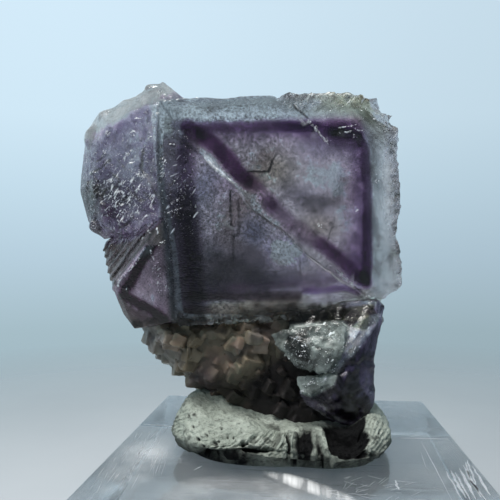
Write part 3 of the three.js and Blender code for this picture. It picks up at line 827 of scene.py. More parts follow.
    add(g * (1.3 * blob(wx, wz, 8.4, 32.37, 1.31, 1.48, -20) + 1.0 * blob(wx, wz, 6.92, 30.24, 2, 0.685, -25)
        + 0.9 * blob(wx, wz, 9.37, 36.3, 1.14, 1.71) + 0.8 * tube(wx, wz, [(10.49, 39.95), (10.26, 37.43), (10.41, 34.37), (10.35, 31.58), (9.35, 29.19)], 0.15, 0.55)), np.array([0.95, 1.0, 0.82], F32))
    # painted shadow: a dark olive strip under the bottom edge of the main cube; the next line lightens its upper part
    add(g * 1.5 * area_in(wx, wz, [(-2.98, 41.2), (7.18, 42.57), (10.22, 43.02), (10.77, 41.35), (9.11, 40.21), (7.73, 40.61), (2.7, 40.98), (-0.41, 40.24), (-1.98, 39.79)], 0.3), OLIVE)
    add(-g * (1.9 - 0.5 * n2) * area_in(wx, wz, [(2.6, 42.6), (6.5, 43.3), (10.6, 43.4), (10.7, 42.3), (8.6, 41.4), (5.5, 41.3), (2.6, 41.3)], 0.30), np.array([0.74, 0.76, 0.62], F32))
    # painted shade: darker in the undercut at the left of the lower right crystal, under the main cube
    add(g * 1.2 * area_in(wx, wz, [(-2.98, 40.35), (-2.07, 38.8), (-0.42, 36.69), (1.56, 35.03), (0.99, 32.2), (-1.27, 32.14), (-2.98, 34.66)], 0.4), OLIVE)
    for pts, half, k in (([(6.6, 34.29), (7.57, 32.35), (7.15, 31.5)], 0.06, 0.8), ([(5.48, 33.14), (6.59, 32.05), (8.25, 31.53)], 0.06, 0.7), ([(6.33, 37.09), (7.58, 38.37), (8.56, 39.5)], 0.07, 0.7),
                         ([(6.74, 35.83), (8.27, 37.68), (9.8, 39.52)], 0.06, 0.6), ([(3.8, 30.16), (6.31, 29.8), (8.53, 30.42)], 0.06, 0.6)):
        add(g * k * tube(wx, wz, pts, half, 0.14), NEUTRAL)
    glint = np.maximum(glint, g * 0.12)
    # --- rims and edges of the main crystal ------------------------------
    u, w, v = l[:, 0], l[:, 1], l[:, 2]
    g = in_main * smooth(3.5, 0.5, w)
    q2 = fbm(NB, l, 1.1, 4)
    left = smooth(-11.3, -12.6, u + 0.3 * n2)
    add(g * left * (0.20 + 0.50 * smooth(10.5, 6.5, v) + 0.85 * smooth(4.5, 0.5, v)) * (1 + 0.3 * n2 + 0.2 * n3), NEUTRAL)
    add(g * smooth(-13.2, -14.1, u) * (0.12 + 0.30 * smooth(5.0, 0.5, v)) * (1 + 0.4 * n2 + 0.3 * n3), NEUTRAL)
    edge = smooth(-15.0, -15.5, u)
    add(g * edge * (0.25 + 0.65 * smooth(12.5, 11.0, v)), NEUTRAL)
    # darker along the bottom of the main cube: partly the olive colour of its lowest zone, partly painted shade where
    # the cube overhangs the matrix; the line after it paints shade on the bottom edge itself
    foot = smooth(-12.55, -13.25, v + 0.15 * n2)
    add(g * foot * (0.80 + 0.45 * q2) * (1 - 0.55 * smooth(-2.5, 0.5, u)) * (1 - 0.7 * blob(u, v, 4.3, -12.9, 3.0, 0.9, -4)), OLIVE)
    add(in_main * smooth(-13.6, -14.4, v) * smooth(14, 6, w) * 0.6, OLIVE)
    top = smooth(10.9, 12.3, v) * smooth(-0.8, 0.8, u)
    add(g * top * (0.00 + 0.34 * q2), OLIVE)
    add(g * 0.9 * blob(u, v, 9.5, 12.2, 5.0, 2.0), BEIGE)
    corner = smooth(7.5, 11.0, (u + v) * 0.707 - 5.6) * smooth(8.5, 10.5, u)
    add(g * corner * (0.02 + 0.50 * q2), OLIVE)
    add(g * smooth(14.0, 14.9, u) * (0.12 + 0.55 * q2), NEUTRAL)
    add(g * smooth(11.2, 12.2, u) * (0.85 * q2 + 0.80 * n3 - 0.30), NEUTRAL)
    add(g * smooth(12.7, 13.7, u) * 0.9 * q2, OLIVE)
    add(in_main * smooth(1.0, 5.0, w) * (0.05 + 0.06 * n1), PURPLE)
    glint = np.maximum(glint, g * top * 0.75)
    glint = np.maximum(glint, g * corner * 0.6)
    glint = np.maximum(glint, g * smooth(13.0, 14.4, u) * 0.62)
    glint = np.maximum(glint, g * smooth(-10.0, -12.5, u) * bump1(v, 2.5, 4.0, 2.5) * 0.60)
    glint = np.maximum(glint, g * smooth(-14.6, -15.3, u) * 0.30)
    add(0.10 * n3, NEUTRAL)
    return np.clip(od, 0.0, 4.6), np.clip(glint, 0, 1)



# =====================================================================
# the crystals
# =====================================================================
# =====================================================================
rng = np.random.default_rng(20)
RIM_CHIPS = []
for a, b, n, r0, r1 in (
    ((-15.4, 13.6), (-0.8, 13.6), 7, 0.2, 0.4), ((0.4, 13.9), (10.6, 13.3), 22, 0.35, 0.9),
    ((10.6, 13.2), (15.1, 8.6), 16, 0.4, 1.1), ((15.1, 8.4), (14.9, -12.0), 26, 0.25, 0.7),
    ((14.6, -12.6), (9.5, -14.9), 9, 0.4, 0.9), ((9.5, -14.8), (-15.2, -14.1), 14, 0.25, 0.6),
    ((-15.3, -13.8), (-15.9, 13.2), 12, 0.2, 0.45),
):
    for t in np.sort(rng.uniform(0, 1, n)):
        r = rng.uniform(r0, r1)
        u = a[0] + (b[0] - a[0]) * t
        v = a[1] + (b[1] - a[1]) * t
        o = np.array([u, v]) / np.hypot(u, v)
        RIM_CHIPS.append((u + o[0] * r * 0.45, -r * rng.uniform(0.2, 0.75), v + o[1] * r * 0.45, r))
for k in range(40):  # back edges
    side = rng.integers(0, 4)
    t = rng.uniform(-1, 1)
    u, v = [(15.0, 13 * t), (-15.4, 13 * t), (15 * t, 13.6), (15 * t, -14.4)][side]
    r = rng.uniform(0.3, 1.2)
    RIM_CHIPS.append((u * (1 + 0.02 * r), 17 + 0.4 * r, v * (1 + 0.02 * r), r))

# terraces on the faces that the growth left
TERRACES = [
    ((-13.5, 12.0, -12.0), (9.0, 17.4, 10.5)), ((-8.0, 12.0, -12.4), (4.5, 17.75, 3.0)),
    ((2.0, 12.0, 1.0), (13.6, 17.7, 12.2)), ((-4.0, 12.0, -9.0), (1.5, 18.1, -2.0)),
    ((6.0, 3.0, -12.6), (15.2, 15.5, 4.0)), ((6.0, 6.5, -3.0), (15.4, 14.0, 8.5)),
    ((-11.0, 4.0, 6.0), (6.0, 15.0, 13.9)), ((-6.0, 7.5, 6.0), (1.5, 16.0, 14.15)),
]


def main_cube(p):
    l = to_face(p).astype(F32)
    u, w, v = l[:, 0], l[:, 1], l[:, 2]
    # the outline breathes a little with depth, so that the sides aren't extruded
    du = 0.16 * NA(np.stack([u * 0, w, v], 1), 3.1)
    dv = 0.16 * NB(np.stack([u, w, v * 0], 1), 3.4)
    side = OUT2(u + du, v + dv)
    deep = smooth(1.0, 6.0, w)
    # further back the chipped rim gives way to whole crystal faces
    whole = np.maximum(np.maximum(u - 14.9, -15.6 - u), np.maximum(v - 13.55, -14.45 - v))
    side = side * (1 - deep) + whole * deep
    st = STEP2(u, v)
    rise = 0.36 * (1 - smooth(-0.10, 0.12, st))
    rise += 0.05 * (1 - smooth(-0.05, 0.05, st + 0.9 + 0.3 * NA(l, 4.0)))
    # shallow growth hillocks on the front
    rise += 0.05 * NB(l, 5.5) + 0.02 * NC(l, 1.6)
    front = -rise - w
    back = w - (17.0 + 0.1 * NA(l, 4.0))
    d = np.maximum(np.maximum(side, front), back)
    for lo, hi in TERRACES:
        d = np.minimum(d, box_sdf(l, lo, hi))
    near = np.abs(d) < 1.6
    q = l[near]
    x = d[near]
    for cu, cw, cv, r in RIM_CHIPS:
        k = (q[:, 0] - cu) ** 2 + (q[:, 1] - cw) ** 2 + (q[:, 2] - cv) ** 2
        m = k < (r + 0.6) ** 2
        x[m] = np.maximum(x[m], r - np.sqrt(k[m]))
    # broken upper right rim
    rim = smooth(10.9, 12.4, q[:, 2] - 0.25 * NA(q, 1.5)) * smooth(-0.6, 1.2, q[:, 0])
    rim = np.maximum(rim, smooth(12.6, 14.0, q[:, 0]) * smooth(7.0, 9.0, q[:, 2]))
    rim = np.maximum(rim, 0.45 * smooth(13.3, 14.6, q[:, 0]))
    rim = rim * (1 - smooth(5.0, 9.0, q[:, 1]))
    x = x + rim * (0.26 * (facets(q, 1.5, CB) + 0.3) + 0.20 * steps(q, (1, 0.3, -0.8), 0.8) + 0.12 * fbm(NB, q, 0.8, 3))
    # bottom edge is ragged where it meets the matrix
    low = smooth(-13.0, -14.2, q[:, 2])
    x = x + low * 0.25 * (facets(q, 1.7, CC) + 0.2)
    # rough patch at the left end, where the neighbouring cube grows through
    lft = smooth(-11.2, -13.2, q[:, 0] + 0.5 * NB(q, 2.0)) * smooth(-1.2, 0.6, q[:, 2]) * (1 - smooth(9.2, 11.2, q[:, 2]))
    x = x + lft * (0.16 * facets(q, 1.1, CC) + 0.12 * steps(q, (-0.5, 0, 0.87), 0.7) + 0.05)
    d[near] = x
    return d


PL_LEFT = hull_planes(LEFT_CUBE)
PL_LL = hull_planes(LOWER_LEFT_CUBE)
PL_RF = hull_planes(RIGHT_FACET)
PL_RC = hull_planes(RIGHT_CHIP)
PL_RL = hull_planes(RIGHT_CHIP_LOW)
PL_RB = hull_planes(RIGHT_BODY)
PL_ML = hull_planes(MATRIX_LEFT)
PL_MM = hull_planes(MATRIX_MIDDLE)
PL_FT = hull_planes(FOOT)


def banded(d, p, fn, reach=1.4):
    near = np.abs(d) < reach
    q = p[near]
    d[near] = fn(d[near], q)
    return d


# rounded knobs along the left outline: centre, radii
KNOBS = [
    ((-26.6, -2.4, 65.2), (1.5, 2.0, 1.7)), ((-26.0, -2.6, 53.2), (1.3, 1.8, 1.1)), ((-24.6, -2.6, 68.0), (1.6, 2.0, 1.05)),
    ((-23.35, -3.9, 50.0), (0.75, 1.2, 1.0)), ((-23.7, -3.4, 48.0), (0.5, 1.0, 0.8)), ((-22.3, -3.4, 44.9), (0.45, 0.9, 0.5)),
    ((-21.2, -3.8, 42.1), (0.5, 0.9, 0.6)), ((-18.2, -3.9, 71.6), (0.8, 0.9, 0.5)), ((-21.6, -3.8, 69.5), (0.9, 0.9, 0.5)),
]


def lumpy(d, p, knobs, k=0.7):
    """A solid with rounded lumps grown softly out of it."""
    for c, r in knobs:
        q = (p - np.array(c, F32)) / np.array(r, F32)
        b = (np.sqrt((q * q).sum(1)) - 1) * min(r)
        h = np.clip(0.5 + 0.5 * (d - b) / k, 0, 1)
        d = d * (1 - h) + b * h - k * h * (1 - h)
    return d


def left_cube(p):
    d = lumpy(hull_sdf(p, PL_LEFT), p, [k for k in KNOBS if k[0][2] > 52])

    def rough(x, q):
        face = smooth(-2.0, -5.0, q[:, 1])
        # the clear upper edge is smoother than the broken face under it
        under = smooth(1.6, 4.2, 0.47 * (q[:, 0] + 16.6) + 0.883 * (72.2 - q[:, 2]))
        k = face * (0.35 + 0.65 * under)
        x = x + (0.05 + 0.20 * k) * fbm(NA, q * np.array([1, 0.7, 1], F32), 2.6, 3)
        x = x + (0.02 + 0.26 * k) * steps(q, (0.62, -0.25, 0.78), 1.5, NB, 0.7)
        x = x + (0.02 + 0.20 * k) * steps(q, (-0.75, -0.3, 0.6), 0.95, NC, 0.7)
        x = x + 0.10 * k * steps(q, (0.2, -0.5, 0.9), 0.5, NA, 0.8)
        return x + 0.10 * k * facets(q, 1.1, CB)

    return banded(d, p, rough)


RIDGE_A, RIDGE_B = np.array([-22.2, -6.8, 45.5]), np.array([-16.2, -9.6, 52.1])
RIDGE = (RIDGE_B - RIDGE_A) / np.linalg.norm(RIDGE_B - RIDGE_A)
ACROSS = np.cross(RIDGE, [0, -1, 0])
ACROSS = (ACROSS / np.linalg.norm(ACROSS)).astype(F32)
if ACROSS[0] > 0:
    ACROSS = -ACROSS


def lower_left(p):
    d = lumpy(hull_sdf(p, PL_LL), p, [k for k in KNOBS if k[0][2] < 52], 0.4)

    def grooves(x, q):
        across = (q - RIDGE_A.astype(F32)) @ ACROSS  # distance from the ridge, up and to the left positive
        k = smooth(0.1, 0.4, across)
        t = across * 0.95 + 0.30 * NA(q, 2.5)
        saw = t - np.floor(t)
        t2 = across * 3.3 + 0.4 * NB(q, 1.5)
        fine = t2 - np.floor(t2)
        x = x + k * (0.34 * (saw - 0.5) + 0.09 * (fine - 0.5))
        x = x - 0.16 * bump1(across, 0.05, 0.12, 0.25) * smooth(-2.5, -4.5, q[:, 1])
        return x + 0.05 * fbm(NB, q, 1.2, 2) + (1 - k) * 0.04 * steps(q, (0.9, 0, 0.4), 0.8)

    return banded(d, p, grooves)


def right_chip(planes, amount):
    def solid(p):
        d = hull_sdf(p, planes)

        def chips(x, q):
            x = x + 0.20 * facets(q, 2.2, CC) + 0.14 * steps(q, (0.3, -0.2, 0.93), 1.1, NB, 0.8)
            x = x + 0.13 * steps(q, (0.9, -0.3, -0.3), 0.8, NC, 0.8) + 0.10 * facets(q, 0.8, CB)
            return x + 0.06 * fbm(NA, q, 0.6, 2)

        return banded(d, p, lambda x, q: x + amount * (chips(x, q) - x))

    return solid


def right_facet(p):
    d = hull_sdf(p, PL_RF)

    def splintered(x, q):
        x = x + 0.15 * steps(q, (-0.82, -0.2, 0.52), 0.9, NA, 0.5) + 0.14 * facets(q, 2.6, CA)
        return x + 0.06 * fbm(NB, q, 0.8, 2)

    return banded(d, p, splintered)


def right_bottom(p):
    d = hull_sdf(p, PL_RB)

    def conch(x, q):
        x = x + 0.24 * facets(q, 3.2, CB) + 0.12 * steps(q, (0.5, -0.2, 0.84), 2.1, NA, 0.9)
        return x + 0.06 * facets(q, 1.1, CA) + 0.04 * steps(q, (-0.8, 0, 0.6), 0.6, NB, 0.6)

    return banded(d, p, conch)


BACK_M = turn(math.radians(-14), 0, 0)
BACK_Y = np.array([[math.cos(math.radians(30)), 0, math.sin(math.radians(30))], [0, 1, 0],
                   [-math.sin(math.radians(30)), 0, math.cos(math.radians(30))]])
BACK_X = turn(0, math.radians(9), 0)
BACK_R = BACK_M @ BACK_Y @ BACK_X


def back_cube(p):
    l = ((p - np.array([-1.5, 9.5, 55.0], F32)) @ BACK_R).astype(F32)
    d = box_sdf(l, (-8.5, -4.5, -7.5), (8.5, 4.5, 7.5))
    for lo, hi in (((-6.5, 0, -5.5), (5.0, 4.9, 6.0)), ((-4.5, 0, -6.0), (6.6, 5.2, 1.5))):
        d = np.minimum(d, box_sdf(l, lo, hi))
    return banded(d, p, lambda x, q: x + 0.05 * fbm(NB, q, 1.4, 3))


# small cubes grown on the flanks: centre, half size, turns
SMALL = []
for c, s, t in (
    ((-21.6, 3.4, 50.4), (2.2, 2.4, 2.0), (0.7, 0.3, 0.1)),
    ((10.9, 2.6, 40.4), (1.2, 2.1, 1.6), (0.2, 0.5, 0.3)), ((9.2, 5.2, 36.6), (1.6, 1.5, 1.8), (0.6, 0.1, 0.4)),
    ((4.6, 11.4, 48.0), (2.6, 2.2, 2.4), (0.4, 0.3, 0.6)), ((6.6, 11.8, 59.4), (2.2, 1.8, 2.2), (0.9, 0.2, 0.3)),
    ((-12.0, 6.6, 50.6), (2.8, 2.4, 2.6), (0.25, 0.35, 0.15)), ((-15.6, 4.8, 48.2), (2.2, 2.4, 2.4), (0.8, 0.4, 0.5)),
    ((-21.2, 5.0, 60.4), (3.0, 2.0, 3.4), (0.35, 0.15, 0.5)), ((-17.2, 5.6, 65.6), (2.4, 1.9, 2.2), (0.6, 0.1, 0.9)),
):
    SMALL.append((np.array(c, F32), np.array(s, F32), turn(*t).astype(F32)))




def small_cube(c, s, m):
    def fn(p):
        q = np.abs((p - c) @ m) - s
        return np.max(q, axis=1) + 0.03 * NB(p, 0.9)

    return fn


H = 0.21
field = Field((-31.5, -16.5, 25.0), (17.5, 16.8, 75.0), H)
cs = np.array([from_face((u, w, v)) for u in (-16.5, 16) for w in (-0.8, 18.8) for v in (-15.5, 14.8)])
field.add(main_cube, cs.min(0), cs.max(0))
for fn, pts in ((left_cube, LEFT_CUBE), (lower_left, LOWER_LEFT_CUBE), (right_facet, RIGHT_FACET), (right_bottom, RIGHT_BODY),
                (right_chip(PL_RC, 1.0), RIGHT_CHIP), (right_chip(PL_RL, 0.6), RIGHT_CHIP_LOW)):
    pts = np.array(pts)
    field.add(fn, pts.min(0) - 1, pts.max(0) + 1)
field.add(back_cube, (-14, -2, 42), (12, 18, 68))
for c, s, m in SMALL:
    r = float(np.linalg.norm(s)) + 0.5
    field.add(small_cube(c, s, m), c - r, c + r)
cv, cq = field.mesh()
cv, cq = keep_big(cv, cq)
crystal = new_mesh("fluorite_crystals", cv, cq)
decimate(crystal, 192000)
crystal.data.polygons.foreach_set("use_smooth", np.ones(len(crystal.data.polygons), bool))
crystal.data.set_sharp_from_angle(angle=math.radians(36))
P = verts_mm(crystal)
L = to_face(P).astype(F32)
DL = lumpy(hull_sdf(P, PL_LEFT), P, [k for k in KNOBS if k[0][2] > 52])
DLL = lumpy(hull_sdf(P, PL_LL), P, [k for k in KNOBS if k[0][2] < 52], 0.4)
DRT = np.minimum(hull_sdf(P, PL_RC), hull_sdf(P, PL_RL))
DRB = np.minimum(hull_sdf(P, PL_RB), hull_sdf(P, PL_RF))
DM = np.maximum(np.maximum(np.abs(L[:, 0] + 0.35) - 15.55, np.abs(L[:, 2] + 0.55) - 14.3), np.maximum(-0.6 - L[:, 1], L[:, 1] - 18))
in_main = smooth(0.5, -0.3, DM)
in_main = in_main * (1 - smooth(0.6, 0.2, np.abs(np.minimum(DRT, DRB))) * smooth(0.4, 1.2, L[:, 1]) * smooth(-12.6, -13.4, L[:, 2]))
on_left = smooth(1.3, 0.8, np.abs(DL)) * (1 - in_main)
on_ll = smooth(1.3, 0.8, np.abs(DLL)) * (1 - in_main) * (1 - on_left)
on_rt = smooth(0.8, 0.4, np.abs(DRT)) * (1 - in_main)
on_rb = smooth(1.3, 0.8, np.abs(DRB)) * (1 - in_main) * (1 - on_rt)
OD, GLINT = skin(P, on_left, on_ll, on_rt, on_rb, in_main, L)
col = np.ones((len(P), 4), F32)
col[:, :3] = np.exp(-2.0 * OD)
crystal.data.attributes.new("tint", "FLOAT_COLOR", "POINT").data.foreach_set("color", col.ravel())
set_attr(crystal, "glint", GLINT * (1 - 0.65 * in_main * smooth(10.6, 11.8, L[:, 2]) * smooth(1.0, -1.5, L[:, 0]) * smooth(1.0, 0.2, L[:, 1])))
pitted = smooth(3.0, -7.0, L[:, 0]) * in_main * smooth(1.5, 0.3, L[:, 1]) * (1 - 0.8 * smooth(10.4, 11.6, L[:, 2]))
set_attr(crystal, "pitted", np.clip(pitted + 0.30 * in_main + 0.5 * on_ll + 0.4 * on_left, 0, 1))
set_attr(crystal, "chip", np.clip(on_rt, 0, 1))
haze = in_main * smooth(2.0, 0.5, L[:, 1]) * np.maximum(smooth(10.8, 12.2, L[:, 0]), 0.75 * blob(L[:, 0], L[:, 2], 8.0, 12.9, 5.5, 1.6)) \
    * (0.50 + 0.55 * fbm(NB, L * np.array([1, 1, 0.5], F32), 3.2, 3))
band = 0.47 * (P[:, 0] + 16.6) + 0.883 * (72.2 - P[:, 2])
SX, SZ = seen(P)
frost = fbm(NC, P, 0.8, 4)
haze = haze + on_left * (0.16 + 0.55 * smooth(3.9, 2.6, band + 0.5 * NA(P, 3.0)) + 0.30 * smooth(0.0, 0.5, frost)) + 1.0 * on_rt
lav = on_rb * smooth(0.5, -2.5, P[:, 1]) * area_in(SX + 0.2 * frost, SZ, LAV_FACET, 0.40)
fibre = smooth(-0.2, 0.6, NA(np.stack([0.55 * SX + 0.83 * SZ, SX * 0 + 9, 2.4 * (0.83 * SX - 0.55 * SZ)], 1).astype(F32), 1.5))
haze = haze + 1.1 * lav * (0.35 + 0.9 * fibre) + 0.25 * on_rb * blob(SX, SZ, 7.57, 34.31, 1.4, 2.0, 20)
haze = haze + 0.10 * on_ll * smooth(0.1, 0.6, frost)
set_attr(crystal, "haze", np.clip(haze, 0, 1))
set_attr(crystal, "lum", np.exp(-1.3 * OD.mean(1)))
front_m = in_main * smooth(0.8, 0.2, L[:, 1])
# milk_and_highlight: milky white diffuse colour on the surface. It is a painted highlight along the bright streaks, the
# step's edge and the scratches of the front, the ridge of the lower left crystal and the edges of the lower right one;
# on the lavender band and the lilac patch it is milky frost, on the right rim both.
milk_and_highlight = np.zeros(len(P), F32)
# painted highlights: the bright streaks, the step's edge and the scratches on the front face
for pts, half, soft, k in (
    ([(-9.95, 6.5), (-9.4, 5.8), (-8.9, 5.16), (-8.0, 4.25)], 0.20, 0.18, 1.0), ([(-8.0, 4.2), (-6.97, 3.38), (-5.75, 2.45)], 0.12, 0.25, 0.28),
    (STEP_LINE[8:12], 0.02, 0.12, 0.35), (STEP_LINE[19:27], 0.03, 0.14, 0.28), ([(1.6, 12.1), (3.2, 10.8)], 0.02, 0.12, 0.4),
    ([(5.7, -9.3), (6.6, -10.1), (7.9, -11.2)], 0.05, 0.15, 0.5), ([(2.0, 10.6), (2.9, 9.6), (3.8, 8.2)], 0.05, 0.25, 0.45),
    ([(6.9, 8.4), (7.9, 8.5), (9.3, 7.6), (10.0, 7.5)], 0.03, 0.14, 0.4),
):
    milk_and_highlight = np.maximum(milk_and_highlight, k * tube(L[:, 0], L[:, 2], pts, half, soft))
milk_and_highlight = milk_and_highlight * front_m * (0.75 + 0.5 * frost)
# painted highlight on the ridge of the lower left crystal
milk_and_highlight = np.maximum(milk_and_highlight, on_ll * smooth(0.5, -2.5, P[:, 1]) * 0.55 * tube(SX, SZ, [(-21.5, 45.9), (-19.9, 47.6), (-18.0, 50.1)], 0.05, 0.16))
milk_and_highlight = np.maximum(milk_and_highlight, lav * (0.10 + 0.20 * fibre))
# painted highlight on the lower left edge of the lower right crystal
milk_and_highlight = np.maximum(milk_and_highlight, on_rb * smooth(0.5, -2.5, P[:, 1]) * 0.22 * tube(SX, SZ, [(1.27, 32.2), (2.68, 31.11), (4.36, 30.31)], 0.25, 0.40) * (0.6 + 0.8 * frost))
milk_and_highlight = np.maximum(milk_and_highlight, 0.30 * front_m * blob(L[:, 0], L[:, 2], 4.2, -12.6, 2.8, 0.75, -4) * (0.6 + 0.9 * frost))
# milky frost along the right rim, with painted highlights in it
milk_and_highlight = np.maximum(milk_and_highlight, 0.50 * front_m * blob(L[:, 0], L[:, 2], 13.2, 1.2, 0.75, 5.0) * (0.45 + 0.9 * smooth(-0.4, 0.5, frost)))
# painted highlights along facet edges of the lower right crystal
for pts, k in (([(4.36, 32.50), (5.48, 31.46), (6.59, 30.70), (8.25, 30.27), (9.69, 30.45)], 0.26), ([(7.85, 33.89), (6.59, 32.47), (7.84, 31.30), (9.31, 32.81), (8.68, 33.77)], 0.16), ([(6.60, 36.25), (6.04, 34.28), (6.60, 33.17), (7.76, 32.36)], 0.20), ([(4.92, 30.19), (6.31, 29.10), (7.83, 28.73)], 0.22)):
    milk_and_highlight = np.maximum(milk_and_highlight, on_rb * smooth(0.5, -2.5, P[:, 1]) * k * tube(SX, SZ, pts, 0.03, 0.16) * (0.6 + 0.9 * frost))
set_attr(crystal, "milk_and_highlight", np.clip(milk_and_highlight, 0, 1))

m = Mat("fluorite")
co = m.coords()
glint_a = m.attr("glint")
pit_a = m.attr("pitted")
chip_a = m.attr("chip")
haze_a = m.attr("haze")
milk_and_highlight_a = m.attr("milk_and_highlight")


def along(angle, stretch):
    """Coordinates stretched along a direction in the upright plane."""
    x = m.n("Mapping", vector_type="TEXTURE")
    m.set(x, Rotation=(0.15, -math.radians(angle), 0.1), Scale=(stretch, 1.0, 1.0))
    m.l(co, x.inputs["Vector"])
    return x.outputs["Vector"]


fine = m.noise(3900, 3, 0.65, co)
pits = m.voronoi(2500, "F1", "Distance", co)
grain = m.noise(900, 5, 0.65, co)
fleck = m.noise(4200, 3, 0.65, co)
patch = m.noise(420, 3, 0.55, co)
# painted_glint: near-white diffuse strokes and flecks where the glint mask is, painted glints for the sparkle of the
# broken faces
streak1 = m.noise(2100, 2, 0.5, along(52, 5.0))
streak2 = m.noise(1900, 2, 0.5, along(24, 4.0))
lift = m.math("ADD", m.math("MULTIPLY", glint_a, 0.16), m.math("MULTIPLY", patch, 0.10))
painted_glint = m.math("ADD", m.map(m.math("ADD", streak1, lift), 0.79, 0.86, 0.0, 0.9), m.map(m.math("ADD", streak2, lift), 0.83, 0.90, 0.0, 0.7))
painted_glint = m.math("ADD", painted_glint, m.map(m.math("ADD", fleck, lift), 0.76, 0.86, 0.0, 0.9))
painted_glint = m.math("MULTIPLY", painted_glint, m.map(glint_a, 0.05, 0.35, 0.0, 1.0), clamp=True)
# dark strokes beside the glints: painted shade between the cleavage steps
dark = m.math("MULTIPLY", m.map(streak2, 0.40, 0.33, 0.0, 0.55), m.map(glint_a, 0.1, 0.5, 0.0, 1.0))
dark = m.math("ADD", dark, m.math("MULTIPLY", m.map(streak1, 0.40, 0.32, 0.0, 0.45), m.map(glint_a, 0.1, 0.5, 0.0, 1.0)), clamp=True)
# peel: painted shade in the pits of the orange-peel surface
peel = m.math("MULTIPLY", m.map(pits, 0.62, 0.28, 0.0, 0.55), pit_a)
speck = m.math("MULTIPLY", m.map(fine, 0.48, 0.36, 0.0, 0.50), m.math("ADD", 0.35, pit_a), clamp=True)
keep = m.math("MULTIPLY", m.math("SUBTRACT", 1.0, dark), m.math("SUBTRACT", 1.0, peel))
keep = m.math("MULTIPLY", keep, m.math("SUBTRACT", 1.0, speck))
tint = m.n("Attribute", attribute_name="tint")
base = m.times(tint.outputs["Color"], keep)
cloud = m.math("MULTIPLY", haze_a, m.map(patch, 0.35, 0.65, 0.30, 1.0))
base = m.mix(painted_glint, base, (0.86, 0.90, 0.93))
h1 = m.math("ADD", m.math("MULTIPLY", fine, 0.25), m.math("MULTIPLY", m.math("MULTIPLY", m.math("MINIMUM", pits, 0.4), 1.6), pit_a))
h2 = m.math("ADD", h1, m.math("MULTIPLY", grain, m.math("ADD", m.math("MULTIPLY", glint_a, 1.6), 0.30)))
nrm = m.bump(h2, 0.6, 0.00022)
rough = m.math("ADD", m.map(m.noise(420, 3, 0.5, co), 0.3, 0.7, 0.10, 0.20), m.math("MULTIPLY", glint_a, 0.10), clamp=True)
rough = m.math("ADD", rough, m.math("MULTIPLY", painted_glint, 0.25), clamp=True)
solid = m.math("ADD", m.math("MULTIPLY", painted_glint, 0.85), m.math("MULTIPLY", cloud, m.map(chip_a, 0.0, 1.0, 0.26, 0.50)), clamp=True)
# milky white colour: frost, and painted highlights on the streaks and edges
milk_and_highlight_mix = m.math("MULTIPLY", milk_and_highlight_a, m.map(fleck, 0.35, 0.6, 0.6, 1.0), clamp=True)
solid = m.math("ADD", solid, milk_and_highlight_mix, clamp=True)
base = m.mix(milk_and_highlight_mix, base, (0.78, 0.87, 0.97))
base = m.mix(m.math("MULTIPLY", chip_a, m.math("SUBTRACT", 1.0, painted_glint)), base, m.times(m.mix(patch, (0.44, 0.51, 0.48), (0.84, 0.95, 0.90)), m.math("MULTIPLY", keep, m.attr("lum"))))
clear = m.math("SUBTRACT", 1.0, m.math("ADD", solid, 0.012))
p = m.principled(Base_Color=base, Roughness=rough, IOR=1.434, Transmission_Weight=clear, Normal=nrm)
col, den = absorption((15, 15, 15))
m.absorb(col, den)
finish_piece(crystal, m.m, "fluorite_specimen")

# --------------------------------------------------------------------
# near-white flakes that stand on the surface, chips whose white colour also paints glints: x, z, how many, spread,
# length (mm), angle (degrees)
# --------------------------------------------------------------------
from mathutils.bvhtree import BVHTree

